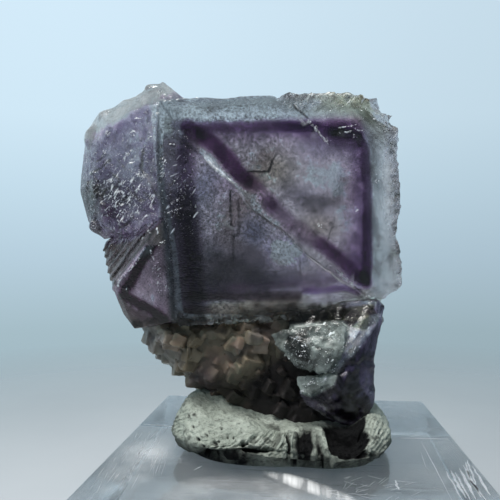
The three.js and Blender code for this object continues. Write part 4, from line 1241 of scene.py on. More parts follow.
CHIPS = [
    (-22.82, 64.72, 7, 0.37, 0.31, 0.37, 45), (-19.72, 64.74, 9, 0.37, 0.31, 0.31, -30),
    (-20.71, 63.8, 3, 0.12, 0.18, 0.25, 60), (-23.22, 62.38, 8, 0.25, 0.55, 0.31, 70),
    (-20.1, 62.03, 9, 0.43, 0.37, 0.31, 40), (-19.71, 60.85, 6, 0.37, 0.22, 0.27, 10),
    (-24.61, 59.86, 4, 0.18, 0.15, 0.25, 20), (-18.41, 59.37, 22, 0.55, 0.55, 0.3, 50),
    (-15.59, 60.91, 12, 0.25, 0.61, 0.27, 70), (-15.71, 59.4, 12, 0.25, 0.49, 0.27, 60),
    (-16.4, 67.09, 4, 0.12, 0.16, 0.25, 80), (-18.83, 66.48, 5, 0.49, 0.25, 0.2, 20),
    (-17.86, 67.17, 5, 0.37, 0.25, 0.2, 30), (-22.3, 58.47, 4, 0.25, 0.25, 0.22, 10),
    (-20.69, 58.45, 4, 0.31, 0.18, 0.22, 30), (-18.91, 57.44, 4, 0.18, 0.15, 0.25, 45),
    (-25.4, 57.24, 6, 0.37, 0.49, 0.17, 30), (-16.06, 69.79, 9, 0.27, 0.74, 0.25, 75),
    (-18.9, 54.43, 4, 0.12, 0.37, 0.37, 70), (-19.18, 53.66, 4, 0.25, 0.18, 0.31, 35),
    (-21.07, 55.47, 6, 0.55, 0.18, 0.34, 30), (-14.1, 55.91, 10, 0.86, 0.12, 0.24, 29),
    (-14.35, 54.78, 10, 0.98, 0.1, 0.24, 17), (-16.71, 53.25, 3, 0.1, 0.1, 0.2, 50),
    (-17.49, 52.19, 3, 0.18, 0.22, 0.22, 50), (-18.2, 51.34, 3, 0.12, 0.16, 0.27, 55),
    (-15.62, 50.79, 9, 0.41, 0.16, 0.25, 15), (-18.62, 48.68, 3, 0.1, 0.12, 0.25, 60),
    (-24.73, 53.02, 10, 0.27, 0.61, 0.22, 60), (-21.06, 53.5, 8, 0.49, 0.25, 0.25, 20),
    (-23.58, 56.32, 4, 0.25, 0.18, 0.22, 30), (-22.38, 56.4, 4, 0.25, 0.15, 0.25, 20),
    (-24.3, 57.99, 7, 0.49, 0.37, 0.2, 40), (-17.31, 56.13, 6, 0.61, 0.61, 0.17, 50),
    (-21.74, 61.27, 5, 0.98, 0.98, 0.16, 40), (-17.59, 62.46, 10, 0.74, 1.11, 0.15, 40),
    (-14.5, 63.16, 3, 0.25, 0.18, 0.25, 45), (-13.72, 58.86, 6, 0.61, 0.74, 0.18, 40),
    (-13.21, 57.1, 5, 0.49, 0.31, 0.18, 25), (2.12, 38.05, 9, 0.37, 0.25, 0.3, 20),
    (2.97, 38.67, 10, 0.86, 0.37, 0.22, 30), (2.72, 33.56, 16, 0.86, 0.3, 0.34, 25), (4.3, 33.95, 12, 0.74, 0.27, 0.34, 28),
    (1.1, 39.04, 12, 0.55, 0.31, 0.22, 20), (6.15, 39.11, 9, 0.55, 0.37, 0.22, 45),
    (1.51, 37.31, 8, 0.61, 0.49, 0.18, 40), (1.75, 32.56, 5, 0.25, 0.15, 0.25, 10), (4.55, 37.6, 10, 0.98, 0.61, 0.17, 30),
    (5.15, 36.15, 6, 0.61, 0.49, 0.2, 50), (2.65, 65.66, 7, 0.31, 0.2, 0.2, -45),
    (3.51, 64.65, 10, 0.31, 0.39, 0.22, -50), (4.72, 63.27, 9, 0.37, 0.37, 0.21, -42),
    (1.92, 67.41, 3, 0.12, 0.12, 0.2, 20), (7.15, 64.2, 8, 0.86, 0.15, 0.3, 10),
    (8.11, 63.69, 5, 0.37, 0.18, 0.22, -20), (5.22, 66.71, 10, 1.72, 0.49, 0.17, 30),
    (9.08, 67.1, 8, 0.98, 0.49, 0.17, -40), (11.82, 64.59, 7, 0.49, 0.61, 0.18, -50),
    (6.92, 68.63, 5, 0.49, 0.25, 0.22, 40), (0.57, 68.81, 6, 0.74, 0.31, 0.18, 20),
    (12.17, 62.75, 4, 0.31, 0.49, 0.17, -60), (10.85, 58.28, 4, 0.25, 0.74, 0.17, 70),
    (8.56, 54.65, 3, 0.49, 0.18, 0.27, 28), (3.97, 52.97, 4, 0.37, 0.37, 0.2, 45),
    (9.73, 44.21, 4, 0.37, 0.17, 0.22, 20),
    (-9.75, 60.8, 16, 0.70, 0.10, 0.42, -48), (-8.95, 59.95, 18, 0.75, 0.10, 0.42, -46), (-8.25, 59.3, 12, 0.60, 0.08, 0.34, -42),
    (-6.9, 58.3, 6, 0.6, 0.10, 0.26, -36), (-5.7, 57.45, 5, 0.5, 0.08, 0.22, -38),
    (2.9, 65.3, 16, 0.75, 0.12, 0.17, -50), (3.8, 64.2, 18, 0.75, 0.14, 0.19, -50), (4.6, 63.2, 14, 0.6, 0.12, 0.19, -50),
    (7.3, 64.9, 12, 0.9, 0.05, 0.26, 8), (8.7, 64.4, 9, 0.5, 0.05, 0.24, -18), (10.2, 66.1, 9, 0.9, 0.05, 0.26, -48), (11.3, 64.9, 8, 0.7, 0.05, 0.24, -45),
    (7.4, 38.6, 8, 1.2, 0.2, 0.22, 52), (5.6, 35.4, 8, 0.8, 0.2, 0.22, 50),
]
def surface_tree(ob):
    me = ob.data
    me.calc_loop_triangles()
    tri = np.zeros(len(me.loop_triangles) * 3, np.int32)
    me.loop_triangles.foreach_get("vertices", tri)
    v = verts_mm(ob)
    return BVHTree.FromPolygons(v.tolist(), tri.reshape(-1, 3).tolist())


tree = surface_tree(crystal)


def flake(at, n, length, width, thick, angle, r):
    """A splinter with an uneven outline lying on a surface, a little tilted out of it."""
    n = np.array(n, float)
    n /= np.linalg.norm(n)
    ref = np.cross([0, -1, 0], n) if abs(n[1]) < 0.9 else np.array([1.0, 0, 0])
    s = np.array([math.cos(angle), 0, math.sin(angle)])
    s = s - n * (s @ n)
    if np.linalg.norm(s) < 0.2:
        s = ref
    s /= np.linalg.norm(s)
    t = np.cross(n, s)
    n2 = n + 0.28 * r.normal() * s + 0.28 * r.normal() * t
    lean = 0.55 + 0.25 * r.normal()
    k = r.integers(5, 8)
    th = np.sort(r.uniform(0, 2 * math.pi, k))
    rad = r.uniform(0.55, 1.0, k)
    rise = [lean * (s[2] * math.cos(a) * q * length + t[2] * math.sin(a) * q * width) for a, q in zip(th, rad)]
    top = [at + s * math.cos(a) * q * length / 2 + t * math.sin(a) * q * width / 2 + n2 * (thick + 0.10 - 0.5 * h) for a, q, h in zip(th, rad, rise)]
    low = [at + s * math.cos(a) * q * length * 0.62 + t * math.sin(a) * q * width * 0.62 - n * thick * 1.5 for a, q in zip(th, rad)]
    v = np.array(top + low)
    f = [tuple(range(k)), tuple(range(2 * k - 1, k - 1, -1))]
    f += [(i, k + i, k + (i + 1) % k, (i + 1) % k) for i in range(k)]
    return v, f


r = np.random.default_rng(44)
parts = []
for x, z, n, sx, sz, ln, ang in CHIPS:
    a = math.radians(ang)
    for _ in range(int(n * 1.7)):
        g1, g2 = r.normal() * 0.55, r.normal() * 0.55
        pt = np.array([x + g1 * sx, -8.0, z + g2 * sz])
        if sx > 2.5 * sz:  # a row of flakes lies along its own direction
            pt = np.array([x + g1 * sx * math.cos(a) - g2 * sz * math.sin(a), -8.0, z + g1 * sx * math.sin(a) + g2 * sz * math.cos(a)])
        d = pt - EYE
        hit, nrm_, _, _ = tree.ray_cast(Vector(EYE), Vector(d / np.linalg.norm(d)))
        if hit is None or hit.y > 0:
            continue
        nn = np.array(nrm_)
        if nn[1] > 0:
            nn = -nn
        size = ln * r.lognormal(-0.85, 0.62)
        parts.append(flake(np.array(hit), nn, size, size * r.uniform(0.22, 0.6), 0.035, a + r.normal() * 0.35, r))


def join(parts):
    vs, fs, o = [], [], 0
    for v, f in parts:
        vs.append(v)
        fs += [tuple(i + o for i in q) for q in f]
        o += len(v)
    return np.concatenate(vs), fs


v, f = join(parts)
flakes = new_mesh("surface_flakes", v, f, flat=True)
m = Mat("flakes")
# near-white colour of the chips, which also serves as painted glints
tone = m.ramp(m.noise(1500, 3, 0.6), [(0.3, (0.80, 0.84, 0.90)), (0.7, (0.95, 0.96, 0.98))])
m.principled(Base_Color=tone, Roughness=m.map(m.noise(900, 2, 0.5), 0.3, 0.7, 0.22, 0.5), IOR=1.434, Transmission_Weight=0.12)
finish_piece(flakes, m.m, "fluorite_specimen")

# =====================================================================
# matrix: a crust of small intergrown cubes under the large ones
# =====================================================================
HM = 0.19
mf = Field((-24.5, -9.0, 25.0), (12.5, 10.5, 45.5), HM)
r = np.random.default_rng(71)
BASE_TURN = turn(0.5, 0.35, 0.4)
GRAINS = []


def matrix_fn(planes, inset):
    def fn(p):
        d = hull_sdf(p, planes) + F32(inset)
        return banded(d, p, lambda x, q: x + 0.22 * fbm(NA, q, 2.0, 3) + 0.10 * fbm(NB, q, 0.7, 2))

    return fn


for planes, pts, inset_mm, count, big in (
    (PL_ML, MATRIX_LEFT, 0.75, 300, 1.35), (PL_MM, MATRIX_MIDDLE, 0.75, 270, 1.5), (PL_FT, FOOT, 0.5, 90, 1.0),
):
    pts = np.array(pts)
    mf.add(matrix_fn(planes, inset_mm), pts.min(0) - 1.2, pts.max(0) + 1.2)
    lo, hi = pts.min(0), pts.max(0)
    cand = r.uniform(lo, hi, (count * 40, 3)).astype(F32)
    dd = hull_sdf(cand, planes)
    cand = cand[(dd > -1.7) & (dd < -0.35)][:count]
    dd = hull_sdf(cand, planes)
    for c, dc in zip(cand, dd):
        s = min(0.42 + big * r.beta(1.4, 3.2), -dc * 0.62 + 0.55)
        if r.uniform() < 0.62:
            e = r.normal(0, 0.22, 3)
        else:
            e = r.uniform(-1.5, 1.5, 3)
        GRAINS.append((c, (s * r.uniform(0.75, 1.15, 3)).astype(F32), (BASE_TURN @ turn(*e)).astype(F32)))


def grain_fn(c, s, m):
    def fn(p):
        bend = np.stack([NA(p, 1.5), NB(p, 1.5), NC(p, 1.5)], 1)
        q = np.abs((p + 0.26 * bend - c) @ m) - s
        o = np.maximum(q + 0.22, 0)
        return np.maximum(np.max(q, axis=1), np.sqrt((o * o).sum(1)) - 0.30) + 0.08 * NB(p, 0.8) + 0.05 * facets(p, 0.9, CB)

    return fn


for c, s, mm in GRAINS:
    rr = float(np.linalg.norm(s)) + 0.35
    mf.add(grain_fn(c, s, mm), c - rr, c + rr)
mv, mq = keep_big(*mf.mesh())
matrix = new_mesh("matrix_crust", mv, mq)
decimate(matrix, 150000)
matrix.data.polygons.foreach_set("use_smooth", np.ones(len(matrix.data.polygons), bool))
matrix.data.set_sharp_from_angle(angle=math.radians(42))
P = verts_mm(matrix)
gid = np.zeros(len(P), F32)
gd = np.full(len(P), 0.6, F32)
gr = r.uniform(0, 1, len(GRAINS))
for k, (c, s, mm) in enumerate(GRAINS):
    rr = float(np.linalg.norm(s)) + 0.2
    sel = np.where((np.abs(P - c) < rr).all(1))[0]
    if not len(sel):
        continue
    q = np.max(np.abs((P[sel] - c) @ mm) - s, axis=1)
    better = q < gd[sel]
    gd[sel[better]] = q[better]
    gid[sel[better]] = gr[k]
set_attr(matrix, "grain", gid)
# crevice_shade: painted shade in the crevices between the grains, darker the deeper the surface lies
deep = np.minimum(np.minimum(hull_sdf(P, PL_ML), hull_sdf(P, PL_MM)), hull_sdf(P, PL_FT))
set_attr(matrix, "crevice_shade", smooth(-0.35, -1.25, deep))
# painted shade: the matrix darkened under the overhanging cube, low down and towards the right
shade = np.clip(smooth(-6.0, -1.0, P[:, 0]) * smooth(37.5, 34, P[:, 2]) + 0.85 * smooth(35.6, 32.0, P[:, 2]) * smooth(-13.5, -8.5, P[:, 0]) + smooth(-2.5, 1.0, P[:, 0]), 0, 1)
set_attr(matrix, "dark", shade)
set_attr(matrix, "pale", np.clip(smooth(-13.5, -18.0, P[:, 0]), 0, 1))
m = Mat("matrix")
co = m.coords()
g = m.attr("grain")
tone = m.ramp(m.math("ADD", m.math("MULTIPLY", g, 0.55), m.math("MULTIPLY", m.noise(360, 4, 0.6, co), 0.55)), [
    (0.12, (0.068, 0.057, 0.042)), (0.30, (0.150, 0.124, 0.086)), (0.46, (0.222, 0.190, 0.140)),
    (0.60, (0.172, 0.168, 0.124)), (0.74, (0.255, 0.192, 0.140)), (0.90, (0.33, 0.27, 0.22))])
tone = m.mix(m.math("MULTIPLY", m.attr("pale"), 0.6), tone, (0.40, 0.42, 0.38))
stain = m.map(m.noise(170, 3, 0.5, co), 0.50, 0.70, 0.0, 0.6)
tone = m.mix(stain, tone, (0.13, 0.095, 0.115))
# painted shade: near black in the crevices and where the dark mask lies
tone = m.mix(m.math("MULTIPLY", m.attr("crevice_shade"), 0.85), tone, (0.022, 0.019, 0.015))
tone = m.mix(m.math("MULTIPLY", m.attr("dark"), 0.96), tone, (0.017, 0.015, 0.016))
hh = m.math("ADD", m.noise(1400, 5, 0.6, co), m.math("MULTIPLY", m.voronoi(900, "F1", "Distance", co), 0.5))
p = m.principled(Base_Color=tone, Roughness=m.math("ADD", m.map(m.noise(700, 2, 0.5, co), 0.3, 0.7, 0.25, 0.5), m.math("MULTIPLY", m.attr("dark"), 0.2)), IOR=1.27,
                 Normal=m.bump(hh, 0.5, 0.0003), Subsurface_Weight=0.55, Subsurface_Scale=0.0016,
                 Subsurface_Radius=(1.0, 0.9, 0.75), Transmission_Weight=m.math("MULTIPLY", m.math("SUBTRACT", 1.0, m.attr("dark")), 0.18))
finish_piece(matrix, m.m, "fluorite_specimen")


# =====================================================================
# what is sealed in the crystals
# =====================================================================
def tint_material(name, per_m=None):
    """A zone boundary that bends no light: its tint is on the mesh, its depth of colour in the volume."""
    m = Mat(name)
    a = m.n("Attribute", attribute_name="tint")
    n = m.map(m.noise(1700, 3, 0.6), 0.3, 0.7, 0.90, 1.0)
    # peel: painted shade in the pits of the orange-peel front, carried onto the zone boundary
    peel = m.map(m.voronoi(2300, "F1", "Distance"), 0.60, 0.25, 0.0, 0.50)
    n = m.math("MULTIPLY", n, m.math("SUBTRACT", 1.0, m.math("MULTIPLY", peel, m.attr("peel"))))
    m.principled(Base_Color=m.times(a.outputs["Color"], n), Roughness=0.0, IOR=1.0, Transmission_Weight=1.0, Specular_IOR_Level=0.0)
    if per_m:
        col, den = absorption(per_m)
        m.absorb(col, den)
    return m.m


def set_tint(ob, od):
    """od: optical density in red, green and blue at each vertex; light meets only one painted side."""
    col = np.ones((len(od), 4), F32)
    col[:, :3] = np.exp(-2.0 * np.clip(od, 0, 4))
    a = ob.data.attributes.new("tint", "FLOAT_COLOR", "POINT")
    a.data.foreach_set("color", col.ravel())


def sheet(name, n, rows, place, thick, od, mat):
    """A thin closed sheet: rows is a list of (v, u from, u to), so that it can follow an uneven outline;
    place(u, v, t) gives the point at t mm below its painted side."""
    t = np.linspace(0, 1, n)
    V = np.repeat(np.array([r_[0] for r_ in rows], float)[None, :], n, 0)
    U = np.array([r_[1] for r_ in rows])[None, :] * (1 - t[:, None]) + np.array([r_[2] for r_ in rows])[None, :] * t[:, None]
    nv = len(rows)
    top = place(U.ravel(), V.ravel(), 0.0)
    i = np.arange(n * nv).reshape(n, nv)
    q = np.stack([i[:-1, :-1], i[1:, :-1], i[1:, 1:], i[:-1, 1:]], -1).reshape(-1, 4)
    ring = np.concatenate([i[:, 0], i[-1, 1:], i[-2::-1, -1], i[0, -2:0:-1]])
    # the plain side is a grid of its own that shares no vertex with the painted one
    low = place(U.ravel(), V.ravel(), thick)
    n0 = n * nv
    j = i + n0
    q2 = np.stack([j[:-1, :-1], j[:-1, 1:], j[1:, 1:], j[1:, :-1]], -1).reshape(-1, 4)
    side = np.stack([ring, ring + n0, np.roll(ring, -1) + n0, np.roll(ring, -1)], 1)
    faces = [tuple(x) for x in q] + [tuple(x) for x in side] + [tuple(x) for x in q2]
    ob = new_mesh(name, np.concatenate([top, low]), faces)
    set_tint(ob, np.concatenate([od(U.ravel(), V.ravel()), np.zeros((n0, 3), F32)]))
    # how much painted pit shade the sheet carries, most at the left
    peel = 0.15 + 0.85 * smooth(5.0, -4.0, U.ravel())
    set_attr(ob, "peel", np.concatenate([peel, np.zeros(n0)]))
    return finish_piece(ob, mat, "fluorite_specimen")


def outline_rows(v0, v1, n, margin, u0=-16, u1=15.6):
    """Rows of a sheet that keeps margin inside the outline of the front face."""
    rows = []
    us = np.linspace(u0, u1, 400)
    for v in np.linspace(v0, v1, n):
        keep = us[OUT2(us.astype(F32), np.full(400, v, F32)) < -margin]
        rows.append([v, keep.min(), keep.max()])
    rows = np.array(rows)
    pad = np.pad(rows, ((4, 4), (0, 0)), "edge")
    lo = np.max([pad[k:k + n, 1] for k in range(9)], axis=0)
    hi = np.min([pad[k:k + n, 2] for k in range(9)], axis=0)
    lo = np.convolve(np.pad(lo, 3, "edge"), np.ones(7) / 7, "valid")
    hi = np.convolve(np.pad(hi, 3, "edge"), np.ones(7) / 7, "valid")
    return [(a, b, c) for a, b, c in zip(rows[:, 0], lo, hi)]


FRAME_LINE = [(-13.2, 10.6), (-10.3, 10.3), (-5.3, 10.05), (-2.6, 9.85), (1.2, 9.7), (4.2, 9.4), (7.3, 8.6), (9.9, 7.9),
              (10.7, 6.2), (10.75, 3.0), (10.65, 0.0), (10.5, -3.5), (10.2, -7.9), (9.8, -10.9)]


def front_zoning(u, v):
    u, v = u.astype(F32), v.astype(F32)
    q = np.stack([u, u * 0 + 3.3, v], 1)
    n1, n2, n3 = fbm(NA, q, 3.6, 4), fbm(NB, q, 1.3, 4), fbm(NC, q, 0.5, 3)
    du, dv = u + 0.30 * n2, v + 0.30 * fbm(NC, q, 1.3, 4)
    below = smooth(0.05, -0.05, STEP2(u, v))          # the proud lower-left plate
    inner = smooth(-13.2, -11.6, du) * smooth(10.9, 9.9, du) * smooth(11.0, 10.0, dv) * smooth(-12.0, -11.0, dv)
    od = np.zeros((len(u), 3), F32)

    def add(k, vec):
        nonlocal od
        od += (k[:, None] if isinstance(k, np.ndarray) else k) * vec

    # outer zone
    add(0.10 * smooth(10.2, 11.2, dv) * smooth(12.5, 10.5, du), NEUTRAL)
    add(0.20 * smooth(0.2, 0.5, n1), OLIVE)
    add(-0.42 * blob(u, v, -11.4, 12.1, 1.0, 0.55, 35) - 0.20 * blob(u, v, -7.0, 12.0, 3.2, 0.5), NEUTRAL)
    add((1.10 * blob(u, v, 12.0, 9.9, 2.4, 1.6, -45) + 0.35 * blob(u, v, 13.4, 8.6, 1.0, 2.0)) * (1 + n2), OLIVE)
    add(0.9 * tube(u, v, [(14.75, 8.5), (14.6, 5.0), (14.5, 0.5), (14.2, -3.0)], 0.05, 0.35), OLIVE)
    right = smooth(10.9, 11.9, du)
    grit = fbm(NC, np.stack([u * 1.7, u * 0 + 2.0, v * 0.45], 1), 0.75, 4)
    add(0.40 * right * (0.12 + 1.5 * n1 + 1.3 * n2 + 0.9 * n3 + 1.6 * grit) * (1 - 0.8 * blob(u, v, 13.0, 1.0, 1.4, 4.5)), NEUTRAL)
    add(0.75 * blob(u, v, 11.5, 4.8, 0.7, 2.4) + 0.80 * blob(u, v, 11.4, -3.4, 0.55, 2.4, 8) + 0.6 * blob(u, v, 12.3, -5.2, 0.7, 1.3)
        + 0.5 * blob(u, v, 11.6, -8.6, 0.7, 2.0) + 0.45 * blob(u, v, 13.9, -9.6, 0.5, 2.0), NEUTRAL)
    # phantom frame: crisp outside, fading inwards
    fd = line_d(du, dv, FRAME_LINE)
    top = smooth(8.0, 9.5, v)
    edge = (1 - smooth(0.34, 0.90, fd)) * (0.90 + 0.35 * n2)
    add(2.05 * edge * (1 - 0.66 * top * smooth(1.5, -2.5, u)) * (1 + 0.2 * smooth(0, -4, v)), VIOLET)
    add(0.32 * edge * smooth(3, 8, u), np.array([0.7, 1.0, 1.1], F32))
    add((1.10 + 0.40 * smooth(5.0, 9.5, u)) * np.exp(-(fd / (1.25 + 0.55 * smooth(5.0, 9.5, u))) ** 2) * inner * (0.85 + 0.5 * n2) * (1 - 0.5 * top * smooth(1.5, -2.5, u)), VIOLET)
    add(0.55 * (1 - smooth(0.2, 3.4, fd)) * inner * (0.8 + 0.6 * n1 + 0.4 * n2), np.array([0.82, 1.0, 0.72], F32))
    add(0.9 * blob(u, v, 9.3, 7.9, 1.6, 1.1, -30) * (0.8 + 0.8 * n2), VIOLET)
    add(0.7 * blob(u, v, 8.8, -8.6, 1.2, 2.2, 10), VIOLET)
    add(1.05 * blob(u, v, 7.8, 8.9, 2.8, 1.3, -12) * (0.9 + 0.6 * n2), np.array([0.66, 1.0, 0.60], F32))
    add(0.65 * blob(u, v, -12.0, 9.2, 1.9, 1.6), NEUTRAL)
    add(0.75 * blob(u, v, 2.3, 9.2, 1.8, 0.7, -35), PURPLE)
    # the lower frame, and the lilac patch under its right end
    lowf = line_d(du, dv, [(-12.9, -10.5), (-10.4, -10.85), (-8.2, -11.1), (-3.9, -11.4), (0.5, -11.8)])
    add(2.50 * (1 - smooth(0.20, 0.80, lowf)) * (0.9 + 0.4 * n2), np.array([0.84, 1.0, 0.92], F32))
    lowr = line_d(du, dv, [(1.4, -11.3), (5.0, -11.6), (6.9, -11.7), (8.7, -12.25)])
    add(1.60 * (1 - smooth(0.10, 0.65, lowr)), PURPLE)
    lilac = np.clip(blob(u, v, 4.2, -12.6, 2.8, 0.75, -4) * 1.4, 0, 1)
    foot = smooth(-11.4, -12.1, dv) * smooth(11.0, 9.0, u)
    add(1.05 * foot * (1 - 0.9 * lilac) * (1 - 0.50 * smooth(-1, 2, u)), np.array([0.76, 0.96, 1.12], F32))
    add(0.22 * foot * lilac, np.array([0.3, 1.0, 0.5], F32))
    green = np.clip(blob(u, v, -6.9, -12.75, 1.7, 0.75, 6) + 0.55 * blob(u, v, -3.0, -12.7, 1.2, 0.7), 0, 1)
    add(-0.30 * foot * green, np.array([1.0, 1.05, 0.75], F32))
    # painted shade: darker olive along the very bottom edge of the face
    add(1.0 * smooth(-13.35, -13.9, v + 0.25 * n2) * (1 - 0.5 * smooth(4, 8, u)), OLIVE)
    # diagonal growth sheet
    d1 = line_d(du, dv, [(-11.7, 10.15), (-9.63, 8.66), (-8.09, 7.34), (-6.78, 5.63), (-5.86, 4.12), (-5.2, 3.4)])
    add(2.95 * (1 - smooth(0.50, 1.30, d1)) * (0.85 + 0.45 * n2) * (0.45 + 0.55 * smooth(-11.8, -10.0, u)), np.array([0.78, 1.12, 0.72], F32))
    d2 = line_d(du, dv, [(-5.24, 3.87), (-3.67, 2.3), (-2.9, 1.19), (-2.12, 0.08)])
    add(1.75 * (1 - smooth(0.25, 1.25, d2)) * (0.75 + 1.0 * n2), np.array([0.74, 1.0, 0.68], F32))
    d3 = line_d(du, dv, [(-2.4, 0.4), (-0.92, -1.29), (0.29, -2.67), (2.18, -4.13), (4.31, -5.63), (5.36, -6.82)])
    add(1.20 * (1 - smooth(0.35, 1.50, d3)) * (0.8 + 1.0 * n2), np.array([0.84, 1.04, 0.80], F32))
    d4 = line_d(du, dv, [(4.0, -5.5), (5.36, -6.82), (7.09, -8.31), (8.83, -10.04), (9.7, -11.03)])
    add(2.55 * (1 - smooth(0.28, 1.25, d4)) * (0.65 + 0.35 * smooth(3.6, 6.5, u)) * (0.9 + 0.5 * n2), np.array([0.76, 1.06, 0.68], F32))
    add(0.35 * tube(u, v, [(-0.8, -4.6), (3.0, -6.6), (7.0, -10.2)], 0.5, 1.0) * (1 - below), NEUTRAL)
    # dark bands at the left
    left = line_d(du, v, [(-12.2, 8.0), (-12.45, 6.0), (-12.8, 1.6), (-12.6, -2.2), (-12.55, -6.0), (-12.6, -10.0), (-12.4, -12.5)])
    add(1.20 * (1 - smooth(0.5, 1.9, left)) * (0.42 + 0.58 * smooth(4.5, 0.5, v)) * (1 + 0.4 * n2), NEUTRAL)
    add(0.45 * (1 - smooth(0.5, 1.7, left)), PURPLE)
    strip = smooth(-12.4, -13.1, du) * smooth(10.2, 8.2, v)
    add(strip * (0.60 + 0.25 * smooth(1.5, -2.0, v) + 0.30 * n2), MAGENTA)
    # the clouded middle
    tri = inner * (1 - below)
    plate = inner * below
    add(0.48 * inner, BEIGE)
    add(0.16 * inner, np.array([0.1, 1.0, 0.1], F32))
    add(tri * (0.40 * blob(u, v, -1.6, 4.4, 2.6, 2.0, 30) + 0.45 * blob(u, v, 3.8, -3.0, 2.6, 1.8, -20)), BEIGE * 1.5)
    add(tri * (0.34 * blob(u, v, -5.5, 7.8, 2.6, 1.6) + 0.40 * blob(u, v, 1.3, 1.0, 2.8, 0.9, -25)), NEUTRAL)
    add(tri * 0.40 * blob(u, v, 4.9, -0.4, 1.0, 0.7), NEUTRAL)
    add(tri * 0.28 * blob(u, v, 7.2, -6.8, 2.0, 2.2), PURPLE)
    add(-tri * (0.22 * blob(u, v, 3.4, 6.2, 2.0, 0.8, 15) + 0.15 * blob(u, v, 6.2, 1.8, 1.4, 2.4) + 0.18 * blob(u, v, 3.1, -2.0, 1.6, 1.2)), NEUTRAL)
    add(0.30 * tri * smooth(0.1, 0.5, n1), NEUTRAL)
    n4 = fbm(NB, q, 0.30, 2)
    add((tri + plate) * (0.10 + 0.34 * n1 + 0.32 * n2 + 0.20 * n3 + 0.20 * n4), NEUTRAL)
    # fine wrinkles of the pale plate at the left
    wr = fbm(NC, np.stack([u * 0.35, u * 0 + 4.0, v * 1.1], 1), 0.42, 3)
    pale = plate * blob(u, v, -9.3, -1.3, 2.6, 2.6)
    add(pale * (0.75 * smooth(0.12, 0.45, wr) - 0.22), NEUTRAL)
    darkl = np.clip(blob(u, v, -8.3, -7.4, 4.4, 2.4, -4) + 0.75 * blob(u, v, -4.4, -9.6, 3.6, 1.5, -8) + 0.5 * blob(u, v, -10.2, -9.4, 2.2, 1.6), 0, 1)
    add(1.95 * plate * darkl, NEUTRAL)
    add(plate * 0.36 * (1 - blob(u, v, -0.8, -6.0, 2.8, 2.2)) * (1 - 0.6 * blob(u, v, -9.5, 1.0, 3.0, 5.0)), np.array([1.0, 1.05, 0.85], F32))
    add(tri * (0.52 * blob(u, v, 3.6, -1.6, 3.0, 3.0) + 1.00 * blob(u, v, 5.2, 7.0, 4.2, 2.0) + 0.30 * blob(u, v, 1.5, 1.2, 2.4, 1.4)), np.array([1.0, 1.04, 0.82], F32))
    add(plate * 0.75 * blob(u, v, -4.7, -3.3, 1.8, 1.8, 30), BLUE)
    add(plate * 0.55 * blob(u, v, -10.4, 3.4, 1.5, 2.6, -30), BLUE)
    add(plate * 0.30 * blob(u, v, -7.5, 3.2, 1.6, 1.4), PURPLE)
    add(plate * 0.55 * blob(u, v, 1.2, -9.9, 2.6, 1.2), NEUTRAL)
    add(-plate * 1.0 * blob(u, v, -0.8, -6.0, 2.5, 1.7), np.array([0.9, 0.9, 1.2], F32))
    add(-plate * 0.35 * blob(u, v, -7.2, -9.9, 1.6, 0.6), np.array([1.0, 0.4, 0.6], F32))
    add(plate * 0.30 * smooth(0.0, 0.5, n1), BLUE)
    # cracks and the step's own shadow line
    dark = np.zeros(len(u), F32)
    for pts, half, soft, k in (
        ([(-5.0, 4.5), (-3.5, 4.36), (-2.12, 4.31), (-1.85, 4.95), (-1.6, 5.58)], 0.07, 0.12, 1.9),
        ([(-1.6, 5.58), (-1.05, 6.3)], 0.03, 0.10, 0.9),
        ([(-7.28, 2.3), (-7.4, 0.2), (-7.52, -1.98)], 0.06, 0.12, 1.9),
        ([(-6.35, 1.2), (-6.48, -2.17), (-6.68, -3.31), (-7.32, -3.36), (-7.66, -7.45)], 0.04, 0.12, 1.1),
        ([(1.51, 12.31), (3.33, 10.63)], 0.04, 0.14, 1.3),
        ([(-4.6, -2.9), (-4.7, -4.2)], 0.03, 0.10, 0.7),
        ([(1.0, -6.9), (0.95, -9.8)], 0.02, 0.12, 0.6),
        ([(5.6, -3.4), (5.0, -4.9), (4.3, -6.0)], 0.02, 0.10, 0.6),
    ):
        dark = np.maximum(dark, 1.35 * k * tube(u, v, pts, half + 0.02, soft))
    dark = np.maximum(dark, 2.0 * tube(u, v, STEP_LINE[10:28], 0.05, 0.13) * smooth(-6.0, -5.2, u))
    add(dark, NEUTRAL)
    specks = [(3.0, -1.1), (3.5, -1.2), (2.6, -1.0), (5.7, -3.1), (5.9, -3.4), (5.5, -2.8), (1.5, 0.6), (-0.6, 2.2), (4.6, 0.4), (2.0, -0.2)]
    sp = np.zeros(len(u), F32)
    for a, b in specks:
        sp = np.maximum(sp, blob(u, v, a, b, 0.20, 0.13, 30))
    add(1.1 * sp, NEUTRAL)
    # growth lines across the upper right corner
    across = (u * 0.707 + v * 0.707)
    gl = smooth(8.8, 9.6, u) * smooth(14.4, 13.6, u) * smooth(5.5, 7.5, v) * smooth(12.2, 10.8, v)
    add(0.45 * gl * (0.5 + 0.5 * np.sin(across * 9.0 + 1.5 * n1)), NEUTRAL)
    # fine grain of the clouds
    grainy = 0.10 + 0.10 * smooth(0, -8, u)
    add(grainy * n3 * 1.6 + 0.10 * n2, NEUTRAL)
    return np.clip(od - 0.26 * inner[:, None], 0.0, 6.0)


def face_place(w0):
    def place(u, v, t):
        return from_face(np.stack([u, np.full(len(u), w0 + t), v], 1))

    return place


NU = 226
sheet("zoning_front", NU, outline_rows(-13.75, 12.65, int(NU * 0.92), 0.75), face_place(1.0), 0.25,
      front_zoning, tint_material("zoning_front"))


